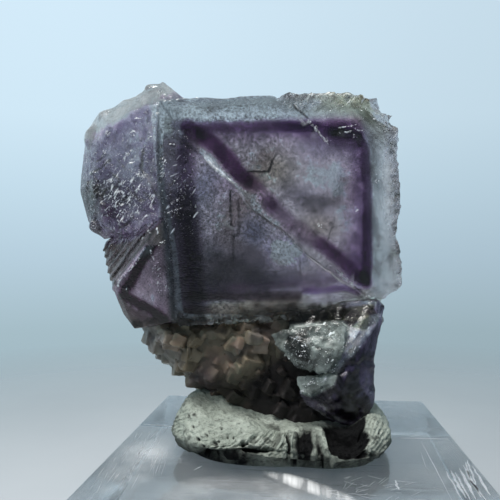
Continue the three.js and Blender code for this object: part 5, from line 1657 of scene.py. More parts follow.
def back_zoning(u, v):
    u, v = u.astype(F32), v.astype(F32)
    q = np.stack([u, u * 0 + 23.0, v], 1)
    n1, n2 = fbm(NB, q, 4.2, 4), fbm(NC, q, 1.2, 4)
    du, dv = u + 0.35 * n2, v + 0.35 * n1
    d = np.maximum(np.abs(du + 0.4) - 11.6, np.abs(dv + 0.3) - 11.0)
    od = 0.32 * np.exp(-(d / 0.8) ** 2)[:, None] * PURPLE + 0.06 * smooth(0.0, -3.0, d)[:, None] * PURPLE
    od += 0.06 * smooth(-0.1, 0.5, n1)[:, None] * BLUE + 0.08 * smooth(0.0, 0.5, n2)[:, None] * NEUTRAL
    return np.clip(od, 0, 6)


sheet("zoning_back", 84, [(v, 14.0, -14.4) for v in np.linspace(-13.2, 12.2, 80)], face_place(15.6), -0.25,
      back_zoning, tint_material("zoning_back"))


def grid_box(corners8, n, wobble, seed, flip=False):
    """A six-sided block with its corners where they are asked for, each side a soft wavy grid.
    corners8: [front 4, back 4], each (u, w, v), in the order low-left, low-right, up-right, up-left."""
    c = np.array(corners8, float).reshape(2, 4, 3)
    nu, nw, nv = n
    verts, index = [], {}

    def at(i, j, k):
        key = (i, j, k)
        if key not in index:
            a, b, t = i / nu, k / nv, j / nw
            pt = 0
            for s, wgt in ((0, 1 - t), (1, t)):
                q = c[s]
                pt = pt + wgt * ((1 - a) * (1 - b) * q[0] + a * (1 - b) * q[1] + a * b * q[2] + (1 - a) * b * q[3])
            index[key] = len(verts)
            verts.append(pt)
        return index[key]

    faces = []
    for i in range(nu):
        for k in range(nv):
            faces.append((at(i, 0, k), at(i + 1, 0, k), at(i + 1, 0, k + 1), at(i, 0, k + 1)))
            faces.append((at(i, nw, k), at(i, nw, k + 1), at(i + 1, nw, k + 1), at(i + 1, nw, k)))
    for i in range(nu):
        for j in range(nw):
            faces.append((at(i, j, 0), at(i, j + 1, 0), at(i + 1, j + 1, 0), at(i + 1, j, 0)))
            faces.append((at(i, j, nv), at(i + 1, j, nv), at(i + 1, j + 1, nv), at(i, j + 1, nv)))
    for j in range(nw):
        for k in range(nv):
            faces.append((at(0, j, k), at(0, j, k + 1), at(0, j + 1, k + 1), at(0, j + 1, k)))
            faces.append((at(nu, j, k), at(nu, j + 1, k), at(nu, j + 1, k + 1), at(nu, j, k + 1)))
    v = np.array(verts)
    w1 = np.stack([NA((v + seed).astype(F32), 3.0), NB((v + seed).astype(F32), 3.0), NC((v + seed).astype(F32), 3.0)], 1)
    w2 = np.stack([NB((v - seed).astype(F32), 0.9), NC((v - seed).astype(F32), 0.9), NA((v - seed).astype(F32), 0.9)], 1)
    v = v + wobble * (w1 + 0.35 * w2)
    if flip:
        faces = [f[::-1] for f in faces]
    return v, faces


def quad(ll, lr, ur, ul, w):
    return [(a[0], w, a[1]) for a in (ll, lr, ur, ul)]


def clear_material(name, per_m):
    m = Mat(name)
    # a boundary that bends no light: only the colour behind it shows
    tint = m.ramp(m.noise(330, 3, 0.5), [(0.35, (0.985, 0.98, 0.98)), (0.65, (1.0, 1.0, 1.0))])
    m.principled(Base_Color=tint, Roughness=0.0, IOR=1.0, Transmission_Weight=1.0, Specular_IOR_Level=0.0)
    col, den = absorption(per_m)
    m.absorb(col, den)
    return m.m


# phantom: corners of its outside at its front and back depth, (u, v)
PF = [(-13.4, -10.9), (10.7, -11.7), (11.8, 10.2), (-12.4, 11.2)]
PB = [(-13.4, -11.6), (11.4, -12.4), (12.3, 10.6), (-12.4, 11.6)]


def inset(c, d):
    c = np.array(c, float)
    s = np.array([(1, 1), (-1, 1), (-1, -1), (1, -1)], float)
    return [tuple(x) for x in c + s * d]


NG = ((30, 10, 30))
v, f = join([
    grid_box(quad(*PF, 1.9) + quad(*PB, 13.4), NG, 0.16, 3.0),
    grid_box(quad(*inset(PF, 1.05), 2.9) + quad(*inset(PB, 1.05), 12.6), NG, 0.20, 9.0, True),
])
finish_piece(new_mesh("phantom_zone", from_face(v), f), clear_material("phantom_violet", (46, 62, 44)), "fluorite_specimen")
v, f = grid_box(quad(*inset(PF, 1.6), 3.4) + quad(*inset(PB, 1.6), 12.0), NG, 0.20, 31.0)
finish_piece(new_mesh("phantom_core", from_face(v), f), clear_material("core_violet", (8, 9, 13)), "fluorite_specimen")
v, f = join([
    grid_box(quad(*inset(PF, 3.9), 5.6) + quad(*inset(PB, 3.7), 10.6), NG, 0.20, 41.0),
    grid_box(quad(*inset(PF, 4.4), 6.1) + quad(*inset(PB, 4.2), 10.0), NG, 0.20, 47.0, True),
])
finish_piece(new_mesh("phantom_inner", from_face(v), f), clear_material("inner_violet", (14, 18, 15)), "fluorite_specimen")


def inner_body(name, planes, lo, hi, depth, h, wob, per_m, paint, cut=None):
    """The zone of a lesser crystal that lies depth mm under its faces."""
    fl = Field(np.array(lo, float), np.array(hi, float), h)

    def fn(p):
        d = hull_sdf(p, planes) + F32(depth)
        d = d + wob * fbm(NA, p, 2.2, 3)
        if cut:
            d = np.maximum(d, cut(p))
        return d

    fl.add(fn, lo, hi)
    vv, qq = keep_big(*fl.mesh(), share=0.2)
    ob = new_mesh(name, vv, qq)
    decimate(ob, 120000)
    ob.data.polygons.foreach_set("use_smooth", np.ones(len(ob.data.polygons), bool))
    pp = verts_mm(ob)
    set_tint(ob, np.clip(paint(pp), 0, 6))
    set_attr(ob, "peel", np.full(len(pp), 0.2, F32))
    return finish_piece(ob, tint_material(name, per_m), "fluorite_specimen")


def not_main(margin):
    def fn(p):
        l = to_face(p).astype(F32)
        return -np.maximum(np.maximum(-15.4 - l[:, 0], l[:, 2] - 13.6), np.maximum(-0.3 - l[:, 1], -14.4 - l[:, 2])) + margin

    return fn


HB = 0.24


def front_of(p, y0, y1):
    return smooth(y0, y1, p[:, 1])


def left_paint(p):
    n1, n3 = fbm(NA, p, 2.4, 4), fbm(NC, p, 0.4, 2)
    band = 0.47 * (p[:, 0] + 16.6) + 0.883 * (72.2 - p[:, 2]) + 0.5 * n3
    od = (smooth(2.6, 4.4, band) * (0.26 + 0.20 * n1))[:, None] * np.array([0.85, 1.05, 0.72], F32)
    od += (0.10 * smooth(60.5, 56.0, p[:, 2]) * (0.8 + 0.6 * n1))[:, None] * NEUTRAL
    return od + 0.02


inner_body("zoning_left_cube", PL_LEFT, (-30, -10.5, 51), (-11.8, 7.5, 72.6), 1.0, HB, 0.15, (6, 3, 5), left_paint, not_main(0.4))


def ll_paint(p):
    n1, n3 = fbm(NA, p, 2.0, 4), fbm(NC, p, 0.4, 2)
    od = (0.10 + 0.10 * n1)[:, None] * PURPLE + (0.06 * n3)[:, None] * NEUTRAL
    return od + 0.05


inner_body("zoning_lower_left", PL_LL, (-26, -10.5, 38.5), (-12, 7, 56), 0.65, HB, 0.08, (14, 18, 12), ll_paint, not_main(0.4))


def rb_paint(p):
    n1, n3 = fbm(NA, p, 1.9, 4), fbm(NC, p, 0.4, 2)
    od = (0.20 + 0.30 * n1)[:, None] * np.array([0.90, 1.0, 0.78], F32) + (0.15 * n3)[:, None] * NEUTRAL
    return od + 0.05


inner_body("zoning_right_body", PL_RB, (0.5, -8.5, 26.5), (12, 6, 38.0), 0.75, HB, 0.12, (96, 118, 84), rb_paint)
inner_body("zoning_right_facet", PL_RF, (-2.5, -8.0, 33.0), (13, 6.5, 44.3), 0.8, HB, 0.10, (80, 92, 72), rb_paint, not_main(0.4))

# healed fractures: thin bright films just under the front
def film(name, pts, half, depth, seed):
    """A row of small plates along a line of the front, mirror bright at some angles."""
    r = np.random.default_rng(seed)
    pts = [np.array(p, float) for p in pts]
    parts = []
    for a, b in zip(pts[:-1], pts[1:]):
        ln = np.linalg.norm(b - a)
        e = (b - a) / ln
        nn = np.array([-e[1], e[0]])
        for _ in range(max(3, int(ln / 0.10))):
            t, s = r.uniform(0, 1), r.normal() * half * 0.5
            c = a + e * ln * t + nn * s
            k = r.integers(5, 8)
            th = np.sort(r.uniform(0, 2 * math.pi, k))
            L1, W1 = r.uniform(0.16, 0.42), r.uniform(0.06, 0.14)
            o = [(c + e * math.cos(x) * L1 + nn * math.sin(x) * W1) for x in th]
            wv = depth + r.uniform(-0.06, 0.06)
            tilt = r.normal(0, 0.3, 2)
            top = [(q[0], wv + tilt[0] * (q[0] - c[0]) + tilt[1] * (q[1] - c[1]), q[1]) for q in o]
            low = [(x, y + 0.03, z) for x, y, z in top]
            v = np.array(top + low)
            fc = [tuple(range(k)), tuple(range(2 * k - 1, k - 1, -1))] + [(i, k + i, k + (i + 1) % k, (i + 1) % k) for i in range(k)]
            parts.append((from_face(v), fc))
    return parts


parts = film("streak", [(-7.8, 4.0), (-6.97, 3.38), (-5.75, 2.45)], 0.22, 0.28, 4)[::4]
parts += film("streak", [(5.7, -9.3), (6.6, -10.1), (7.9, -11.2)], 0.30, 0.35, 6)[::3]
v, f = join(parts)
films = new_mesh("healed_fractures", v, f, flat=True)
m = Mat("films")
tone = m.ramp(m.noise(1300, 3, 0.6), [(0.3, (0.66, 0.76, 0.86)), (0.7, (0.90, 0.94, 0.98))])
m.principled(Base_Color=tone, Roughness=m.map(m.noise(900, 2, 0.5), 0.3, 0.7, 0.3, 0.5), IOR=1.2, Transmission_Weight=0.35)
finish_piece(films, m.m, "fluorite_specimen")

# =====================================================================
# tack
# =====================================================================
TACK_RING = [
    [-13.2, -3.4, -14.6, -3.6, 7.6], [-12.7, -7.2, -13.8, -7.6, 7.3], [-10.6, -9.4, -11.2, -10.4, 6.7],
    [-7.4, -10.7, -7.8, -12.0, 6.3], [-3.2, -11.2, -3.3, -12.5, 5.5], [1.5, -10.9, 1.5, -12.2, 4.4],
    [6.1, -10.8, 6.2, -12.0, 4.1], [9.4, -9.6, 9.9, -10.6, 4.8], [11.4, -6.4, 12.0, -7.0, 5.5],
    [12.5, -1.9, 13.0, -2.1, 5.3], [11.9, 2.6, 12.5, 2.8, 5.4], [10.6, 6.4, 11.3, 6.8, 5.4],
    [6.2, 8.9, 6.6, 9.7, 5.6], [0.6, 9.8, 0.6, 10.7, 6.0], [-5.0, 9.3, -5.4, 10.2, 6.4],
    [-9.8, 6.8, -10.6, 7.4, 6.9], [-12.8, 2.2, -13.9, 2.4, 7.6],
]
st = sorted((math.atan2(s[3], s[2]), math.hypot(s[0], s[1]), math.hypot(s[2], s[3]), s[4]) for s in TACK_RING)
sa = np.array([s[0] for s in st])
sa3 = np.concatenate([sa - 2 * math.pi, sa, sa + 2 * math.pi])


def ring_value(theta, k):
    y = np.array([s[k] for s in st] * 3)
    i = np.clip(np.searchsorted(sa3, theta, side="right") - 1, 0, len(sa3) - 2)
    t = (theta - sa3[i]) / (sa3[i + 1] - sa3[i])
    y0, y1, y2, y3 = y[i - 1], y[i], y[i + 1], y[np.minimum(i + 2, len(y) - 1)]
    return y1 + 0.5 * t * (y2 - y0 + t * (2 * y0 - 5 * y1 + 4 * y2 - y3 + t * (3 * (y1 - y2) + y3 - y0)))


SECTION = np.array([
    [0.0, 0.0], [0.55, 0.0], [0.93, 0.0], [1.0, 0.05], [1.06, 0.2], [1.08, 0.4], [1.045, 0.62], [0.965, 0.84],
    [0.86, 0.965], [0.74, 1.0], [0.6, 0.94], [0.45, 0.84], [0.0, 0.78]])
NT, NS = ((760, 124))
# spacing along the section: little on the flat underside, most on the wall and rim
key = np.array([0, 0.02, 0.05, 0.10, 0.22, 0.36, 0.50, 0.64, 0.76, 0.85, 0.92, 0.97, 1.0])
ss = np.linspace(0, 1, NS + 1)[1:-1]
px = np.interp(ss, key, SECTION[:, 0])
pz = np.interp(ss, key, SECTION[:, 1])
kern = np.array([1, 2, 3, 2, 1]) / 9
pxs = np.convolve(np.pad(px, 2, "edge"), kern, "valid")
pzs = np.convolve(np.pad(pz, 2, "edge"), kern, "valid")
pzs[pz <= 0] = 0
# closer together at the front, where the skin is torn
tt = np.linspace(0, 1, NT, endpoint=False)
theta = -math.pi / 2 + 2 * math.pi * ((tt - 0.5) + 0.085 * np.sin(2 * math.pi * (tt - 0.5)) * -1)
foot, wide, rimh = (ring_value((theta + math.pi) % (2 * math.pi) - math.pi, k) for k in (1, 2, 3))
TH, PX = np.meshgrid(theta, pxs, indexing="ij")
_, PZ = np.meshgrid(theta, pzs, indexing="ij")
bul = foot[:, None] + (wide - foot)[:, None] * np.clip(PZ / 0.38, 0, 1)
R = PX / 1.05 * bul
Z = 24.0 + PZ * rimh[:, None]
X, Y = np.cos(TH) * R, np.sin(TH) * R
TP = np.stack([X, Y, Z], -1)
dT = np.roll(TP, -1, 0) - np.roll(TP, 1, 0)
dS = np.gradient(TP, axis=1)
TN = np.cross(dT, dS)
TN /= np.linalg.norm(TN, axis=-1, keepdims=True) + 1e-9
q = TP.reshape(-1, 3).astype(F32)
deg = ((np.degrees(TH.ravel()) + 180) % 360 - 180).astype(F32)
zz = (q[:, 2] - 24.0).astype(F32)
qx, qy = q[:, 0], q[:, 1]
arc = (np.radians(deg) * 12.0).astype(F32)          # distance round the lump
front = smooth(-3, -7, qy)
wall = smooth(0.12, 0.7, zz)
sx, sz = seen(q)
n1, n2, n3 = fbm(NA, q, 3.0, 3), fbm(NB, q, 1.2, 4), fbm(NC, q, 0.5, 3)
wx, wz = sx + 0.25 * n2, sz + 0.20 * fbm(NC, q, 1.2, 3)
disp = 0.26 * NA(q, 3.6) + 0.20 * NB(q, 1.7) + 0.20 * n2 + 0.13 * n3
disp += 0.30 * fbm(NB, q * np.array([1, 1, 0.6], F32), 4.5, 2)
# shade: painted shade, darkening put into the putty's colour in the torn fibres, the scar, the slash and the layer
# under it, the saddle's gaps, the cavity and the rim above it, pits, ridge troughs, low on the front and on the
# shoulder under the stone
shade = np.zeros(len(q), F32)
# stretched skin: short fibres that run down from the rim, slanting to the right
fib = NA(np.stack([arc - 0.5 * zz, qx * 0 + 2, zz * 0.30], 1).astype(F32), 0.50)
fib2 = NC(np.stack([arc - 0.5 * zz, qx * 0 + 5, zz * 0.42], 1).astype(F32), 0.22)
torn = front * np.clip(area_in(wx, wz, [(-4.7, 28.65), (-1.28, 28.75), (0.42, 27.39), (0.42, 23.73), (-1.85, 25.06), (-3.84, 26.13)], 0.8) + 0.35 * area_in(wx, wz, [(-10.48, 27.06), (-3.84, 28.39), (-1.85, 25.63), (-9.89, 24.22)], 0.8), 0, 1)
disp += torn * (0.26 * fib + 0.20 * fib2) + front * (0.07 * fib + 0.06 * fib2) * smooth(-13, -10, qx)
# painted shade between the torn fibres
shade = np.maximum(shade, torn * 0.45 * smooth(0.0, -0.5, fib2 + fib * 0.6))
# rough scar low on the left lobe
scar = front * area_in(wx, wz, [(-10.19, 26.5), (-6.14, 26.62), (-1.85, 26.19), (-1.85, 25.63), (-5.85, 25.15), (-9.89, 24.08)], 0.5)
disp += scar * (0.26 * fbm(NA, q, 0.8, 3) + 0.14 * fib2 - 0.04)
# painted shade in the scar's troughs
shade = np.maximum(shade, scar * 0.55 * smooth(0.0, -0.45, fib2 + 0.5 * n3))
# slash along the foot of the left lobe, with a thin lower layer left under it
slash = line_d(wx, sz, [(-10.12, 24.27), (-8.15, 24.76), (-5.85, 25.3), (-3.84, 25.62), (-1.9, 25.91)])
taper = smooth(-12.9, -11.6, sx) * smooth(-1.4, -2.8, sx)
k = np.exp(-((slash + 0.12 * n3) / (0.32 + 0.40 * taper)) ** 2) * front
disp -= 1.25 * k
# painted shade in the slash
shade = np.maximum(shade, 1.0 * k)
above = np.exp(-(line_d(wx, sz, [(-9.89, 25.22), (-7.58, 25.72), (-5.27, 26.31), (-2.13, 26.75)]) / 0.35) ** 2) * front
disp += 0.22 * above
# the layer under the slash gets painted shade, as it lies under the overhanging lobe
under = front * np.clip(area_in(wx, sz, [(-13.99, 24.89), (-11.64, 24.5), (-10.12, 24.16), (-8.15, 24.62), (-5.85, 25.15), (-3.84, 25.5), (-1.9, 25.79), (0.14, 25.13), (4.9, 24.03), (4.9, 22.63), (-4.7, 22.13), (-13.98, 21.93)], 0.25), 0, 1)
disp -= 0.50 * under
shade = np.maximum(shade, under * (0.74 + 0.40 * n2 + 0.2 * n3) * (1 - 0.55 * smooth(-6.0, -3.0, sx)))
# the low saddle between the lobes: drips, pulled strings and gaps
saddle = front * area_in(wx, wz, [(-0.99, 28.05), (4.91, 27.94), (5.47, 25.86), (4.9, 23.33), (-0.43, 23.56)], 0.4)
rag = NA(np.stack([qx, qx * 0 + 3, zz * 0.22 + 0.12 * qx], 1), 0.80)
rag2 = NC(np.stack([qx, qx * 0 + 7, zz * 0.30], 1), 0.32)
disp += saddle * (0.70 * rag + 0.42 * rag2 + 0.2 * n3 - 0.30 * smooth(2.4, 0.9, zz))
# painted shade in the saddle's gaps between strings and drips
shade = np.maximum(shade, saddle * np.clip(0.62 - 0.95 * rag - 0.55 * rag2, 0, 1))
gap = np.exp(-(line_d(wx, sz, [(-0.09, 27.66), (0.08, 25.97), (0.02, 24.22)]) / 0.22) ** 2) * front
disp -= 0.9 * gap
# painted shade in the gap
shade = np.maximum(shade, gap)
drip = np.exp(-(line_d(wx, sz, [(3.96, 27.5), (4.3, 26.1), (4.91, 24.87), (5.32, 23.9)]) / 0.42) ** 2) * front
disp += 0.75 * drip
shade *= 1 - 0.9 * drip
# torn cavity under the right-hand crystal, filled with painted shade
cav = front * area_in(wx + 0.25 * n2, wz, [(4.5, 28.63), (6.58, 28.69), (9.07, 28.48), (9.76, 27.11), (9.07, 25.98), (9.61, 25.03), (7.68, 24.68), (6.3, 24.72), (5.19, 25.85)], 0.40)
disp -= cav * (1.7 + 0.6 * fbm(NA, q, 0.9, 3))
shade = np.maximum(shade, np.clip(3.5 * cav, 0, 1))
# painted shade on the rim above the cavity, up to the crystal
shade = np.maximum(shade, front * area_in(wx, wz, [(4.9, 27.6), (4.9, 31.5), (9.5, 31.5), (9.0, 27.6)], 0.25))
# pin holes and pits
for hx, hz, rr, dep in (
    (-5.5, 26.93, 0.30, 1.7), (-4.96, 27, 0.16, 1.0), (-9.02, 27.08, 0.24, 1.0), (-8.56, 27.66, 0.13, 0.6), (-11.06, 26.56, 0.17, 0.7),
    (-7.43, 28.52, 0.11, 0.4), (-11.7, 28.11, 0.12, 0.4), (-9.9, 27.94, 0.09, 0.3), (-3.84, 27.69, 0.12, 0.5), (-6.71, 28.31, 0.10, 0.4),
    (-12.35, 29.3, 0.10, 0.3), (-8.16, 29.41, 0.09, 0.3), (10.3, 24.97, 0.30, 1.4), (10.99, 27.71, 0.09, 0.3), (-10.48, 25.63, 0.14, 0.5),
):
    k = np.exp(-(((sx - hx) / rr) ** 2 + ((sz - hz) / (rr * 1.5)) ** 2)) * front
    disp -= k * dep
    # painted shade in the pits
    shade = np.maximum(shade, np.clip(k * 1.2, 0, 1))
lip = np.exp(-((np.hypot(sx - 10.3, sz - 24.97) - 0.62) / 0.16) ** 2) * front
disp += 0.22 * lip
# finger ridges on the right lobe, fainter ones at the back and left
ph = (np.hypot(sx - 6.59, sz - 29.81) + 0.30 * NA(q, 2.4)) / 0.46
rid_m = smooth(-56, -42, deg) * smooth(30, 10, deg) * smooth(0.5, 1.4, zz)
ridge = np.sin(2 * math.pi * ph)
disp += rid_m * 0.055 * ridge
# painted shade in the troughs of the ridges
shade = np.maximum(shade, rid_m * front * (0.06 - 0.22 * ridge) * smooth(12.23, 10.72, sx))
rid_b = smooth(70, 90, deg) * smooth(150, 130, deg) * smooth(0.9, 1.8, zz)
disp += rid_b * 0.07 * np.sin(2 * math.pi * (qx * 0.8 + zz * 0.7 + 0.4 * NB(q, 2.6)) / 0.5)
rid_l = smooth(-175, -165, deg) * smooth(-140, -150, deg) * smooth(1.0, 2.0, zz)
disp += rid_l * 0.05 * np.sin(2 * math.pi * (qy * 0.6 + zz * 0.9 + 0.4 * NB(q, 2.6)) / 0.5)
# darker patches at random on the front; painted shade low on the front wall; the stone's painted shadow on the left
# shoulder
shade = np.maximum(shade, 0.55 * smooth(0.15, 0.55, n2) * front)
shade = np.maximum(shade, front * (0.56 * smooth(3.8, 1.4, zz) * (1 - 0.6 * smooth(-6.0, -3.0, sx) * smooth(2.0, 0.0, sx)) + 0.25 * n3))
shade = np.maximum(shade, 0.8 * np.exp(-((sx - -11.8) / 1.5) ** 2 - ((sz - 32.19) / 0.9) ** 2) * front)
disp *= wall
disp = np.minimum(disp, 0.9)
pos = q + TN.reshape(-1, 3).astype(F32) * disp[:, None].astype(F32)
# the front rim sags between the lobes
sag = np.interp(sx, [-12.6, -12.0, -10.5, -8.9, -7.0, -5.0, -3.0, -1.6, -0.3, 0.6, 2.0, 3.5, 4.4, 5.4, 8.0, 9.2, 10.6],
                [0.0, 0.2, 1.0, 1.8, 1.65, 1.45, 1.6, 1.7, 1.2, 0.8, 0.5, 0.3, 0.7, 1.5, 1.5, 0.6, 0.0]).astype(F32)
pos[:, 2] -= sag * smooth(-1.0, -5.0, qy) * smooth(2.0, 5.6, zz)
pos[:, 2] = np.maximum(pos[:, 2], 24.0)
n2_ = NS - 1
idx = np.arange(NT * n2_).reshape(NT, n2_)
a, b = idx, np.roll(idx, -1, 0)
quads = np.stack([a[:, :-1], b[:, :-1], b[:, 1:], a[:, 1:]], -1).reshape(-1, 4)
bot, top = len(pos), len(pos) + 1
pos = np.concatenate([pos, [[0, 0, 24.0], [0, 0, 24.0 + 0.78 * 5.0]]])
tri1 = np.stack([b[:, 0], a[:, 0], np.full(NT, bot)], 1)
tri2 = np.stack([a[:, -1], b[:, -1], np.full(NT, top)], 1)
faces = [tuple(f) for f in quads] + [tuple(f) for f in tri1] + [tuple(f) for f in tri2]
tack = new_mesh("tack_lump", pos, faces)
# painted_shade: the shade above, and darker the deeper a point is pushed in
painted_shade = np.clip(1.30 * np.maximum(shade, np.clip((-disp - 0.45) / 0.9, 0, 1) * front), 0, 1)
set_attr(tack, "painted_shade", np.concatenate([painted_shade, [0, 0]]))
m = Mat("tack")
co = m.coords()
blot = m.noise(240, 5, 0.6, co)
tone = m.ramp(blot, [(0.28, (0.31, 0.35, 0.30)), (0.5, (0.45, 0.50, 0.435)), (0.72, (0.58, 0.635, 0.56))])
speck = m.map(m.noise(2300, 4, 0.7, co), 0.52, 0.68, 0.0, 0.75)
tone = m.mix(speck, tone, (0.13, 0.14, 0.12))
light = m.map(m.noise(2600, 3, 0.65, co), 0.56, 0.70, 0.0, 0.6)
tone = m.mix(light, tone, (0.66, 0.71, 0.64))
tone = m.mix(m.math("MULTIPLY", m.attr("painted_shade"), 0.993, clamp=True), tone, (0.006, 0.006, 0.007))
hh = m.math("ADD", m.math("MULTIPLY", m.noise(1000, 7, 0.7, co), 1.0), m.math("MULTIPLY", m.voronoi(1500, "F1", "Distance", co), 0.35))
p = m.principled(Base_Color=tone, Roughness=m.map(blot, 0.3, 0.7, 0.66, 0.88), IOR=1.18, Normal=m.bump(hh, 1.0, 0.00095))
finish_piece(tack, m.m, "mineral_tack")

# =====================================================================
# block
# =====================================================================
bm = bmesh.new()
bmesh.ops.create_cube(bm, size=1.0)
bmesh.ops.scale(bm, vec=(45, 45, 24), verts=bm.verts)
bmesh.ops.translate(bm, vec=(0, 0, 12), verts=bm.verts)
bmesh.ops.bevel(bm, geom=bm.edges[:], offset=0.42, segments=3, profile=0.6, affect="EDGES", clamp_overlap=True)
bmesh.ops.triangulate(bm, faces=[f for f in bm.faces if len(f.verts) > 4])
bv = np.array([v.co[:] for v in bm.verts])
bf = [tuple(v.index for v in f.verts) for f in bm.faces]
bm.free()
block = new_mesh("clear_block", bv, bf)
block.data.set_sharp_from_angle(angle=math.radians(35))
m = Mat("acrylic")
co = m.coords()
scr = m.n("Mapping")
m.set(scr, Rotation=(0.3, 0.2, 0.7), Scale=(1.0, 26.0, 26.0))
m.l(co, scr.inputs["Vector"])
s1 = m.noise(60, 2, 0.4, scr.outputs["Vector"])
scr2 = m.n("Mapping")
m.set(scr2, Rotation=(0.1, 0.5, -0.9), Scale=(22.0, 1.0, 22.0))
m.l(co, scr2.inputs["Vector"])
s2 = m.noise(50, 2, 0.4, scr2.outputs["Vector"])
lines = m.math("ADD", m.map(s1, 0.64, 0.69, 0, 1), m.map(s2, 0.65, 0.70, 0, 1), clamp=True)
smear = m.noise(120, 5, 0.65, co)
rough = m.math("ADD", m.map(smear, 0.35, 0.7, 0.02, 0.12), m.math("MULTIPLY", lines, 0.14))
wavy = m.math("ADD", m.math("MULTIPLY", m.noise(45, 2, 0.5, co), 1.0), m.math("MULTIPLY", lines, -0.12))
xyz = m.n("SeparateXYZ")
m.l(co, xyz.inputs[0])
rough = m.math("MULTIPLY", rough, m.map(xyz.outputs[2], 0.0228, 0.0237, 0.35, 1.0))


def ellipse(cx, cy, rx, ry, ang):
    """1 in the middle of an ellipse on the top, 0 outside it (metres)."""
    a = math.radians(ang)
    dx, dy = m.math("SUBTRACT", xyz.outputs[0], cx), m.math("SUBTRACT", xyz.outputs[1], cy)
    e1 = m.math("ADD", m.math("MULTIPLY", dx, math.cos(a) / rx), m.math("MULTIPLY", dy, math.sin(a) / rx))
    e2 = m.math("ADD", m.math("MULTIPLY", dx, -math.sin(a) / ry), m.math("MULTIPLY", dy, math.cos(a) / ry))
    r2 = m.math("ADD", m.math("MULTIPLY", e1, e1), m.math("MULTIPLY", e2, e2))
    return m.map(r2, 0.1, 1.0, 1.0, 0.0)


# the two patches in front of the tack are painted light, a bright frosted patch and a stripe of painted glints; the
# long patch at the left is a smear on the top
smear_and_painted_light = m.math("ADD", m.math("MULTIPLY", ellipse(-0.003, -0.0185, 0.011, 0.0065, 0), m.map(smear, 0.35, 0.6, 0.08, 0.26)),
                m.math("MULTIPLY", ellipse(0.0022, -0.0150, 0.0070, 0.0016, -38), m.map(s2, 0.40, 0.62, 0.15, 0.75)), clamp=True)
smear_and_painted_light = m.math("ADD", smear_and_painted_light, m.math("MULTIPLY", ellipse(-0.0185, -0.006, 0.0042, 0.016, 3), m.map(smear, 0.35, 0.65, 0.04, 0.28)), clamp=True)
smear_and_painted_light = m.math("MULTIPLY", smear_and_painted_light, m.map(xyz.outputs[2], 0.0232, 0.0238, 0.0, 1.0))
clear = m.math("SUBTRACT", 1.0, m.math("ADD", m.math("MULTIPLY", lines, 0.04), m.map(smear, 0.4, 0.75, 0.01, 0.08)))
clear = m.math("SUBTRACT", clear, smear_and_painted_light, clamp=True)
p = m.principled(Base_Color=m.ramp(m.noise(80, 2), [(0.3, (0.965, 0.972, 0.972)), (0.7, (0.99, 0.992, 0.995))]),
                 Roughness=rough, IOR=1.49, Transmission_Weight=clear, Normal=m.bump(wavy, 0.12, 0.0006))
col, den = absorption((3.6, 2.8, 2.4))
m.absorb(col, den)
finish_piece(block, m.m, "acrylic_block")

# scuffs: slivers of bruised surface on the block's top
SCUFFS = [
    (18.44, -9.42, 18.07, -17.2, 0.22), (18.98, -9.1, 18.62, -16.7, 0.30), (19.4, -9.7, 18.89, -17.1, 0.22), (20.2, -8.4, 19.57, -16.8, 0.32),
    (20.95, -7.4, 20.24, -16.3, 0.34), (21.5, -6.3, 20.6, -11.3, 0.20), (21.9, -5.6, 20.7, -13.2, 0.24), (21.95, -7.6, 21.3, -15.7, 0.30),
    (20.38, -11.3, 20.5, -17.0, 0.24), (17.79, 1.0, 17.05, -17.3, 0.09), (-21.9, 4.9, -16.4, 4.1, 0.22), (12.1, -12.7, 12.07, -15.3, 0.26),
    (-10.84, -11.9, -10.14, -10.6, 0.14), (14.2, 2.0, 21.7, 2.3, 0.16), (-18.6, 3.2, -17.4, -9.5, 0.10), (16.9, -3.0, 16.3, -9.0, 0.05),
]
r = np.random.default_rng(9)
for _ in range(70):  # hairlines along the left side
    x, y, ln = r.uniform(-21.8, -14.5), r.uniform(-16.0, 3.0), r.uniform(1.0, 4.5)
    SCUFFS.append((x, y, x + ln * r.normal(0.10, 0.05), y - ln, r.uniform(0.02, 0.055)))
for _ in range(34):  # swirls in front of the tack
    x, y, a, ln = 8.8 + 2.6 * r.normal(), -15.6 + 1.5 * r.normal(), r.uniform(-0.6, 1.3), r.uniform(0.5, 2.6)
    SCUFFS.append((x, y, x + ln * math.cos(a), y + ln * math.sin(a), r.uniform(0.02, 0.05)))
parts = []
for x0, y0, x1, y1, w in SCUFFS:
    a, b = np.array([x0, y0]), np.array([x1, y1])
    e = (b - a) / np.linalg.norm(b - a)
    nn = np.array([-e[1], e[0]])
    ts = np.linspace(0, 1, 9)
    half_w = w * np.sin(math.pi * np.clip(ts, 0.02, 0.98)) ** 0.7 * r.uniform(0.35, 0.65, 9)
    mid = [a + (b - a) * t_ + nn * r.normal() * w * 0.15 for t_ in ts]
    rim = [q_ + nn * h_ for q_, h_ in zip(mid, half_w)] + [q_ - nn * h_ for q_, h_ in zip(mid[::-1], half_w[::-1])]
    rim = [np.clip(q_, -22.0, 22.0) for q_ in rim]
    k = len(rim)
    v = np.array([(q_[0], q_[1], 24.014) for q_ in rim] + [(q_[0], q_[1], 23.985) for q_ in rim])
    fc = [(i, i + 1, k - 2 - i, k - 1 - i) for i in range(k // 2 - 1)]
    fc += [tuple(k + i for i in reversed(q_)) for q_ in fc]
    fc += [(j, i, k + i, k + j) for i, j in ((i, (i + 1) % k) for i in range(k))]
    parts.append((v, [q_[::-1] for q_ in fc]))
v, f = join(parts)
scuffs = new_mesh("block_scuffs", v, f, flat=True)
m = Mat("scuffs")
tone = m.ramp(m.noise(900, 3, 0.6), [(0.3, (0.70, 0.73, 0.78)), (0.7, (0.90, 0.92, 0.95))])
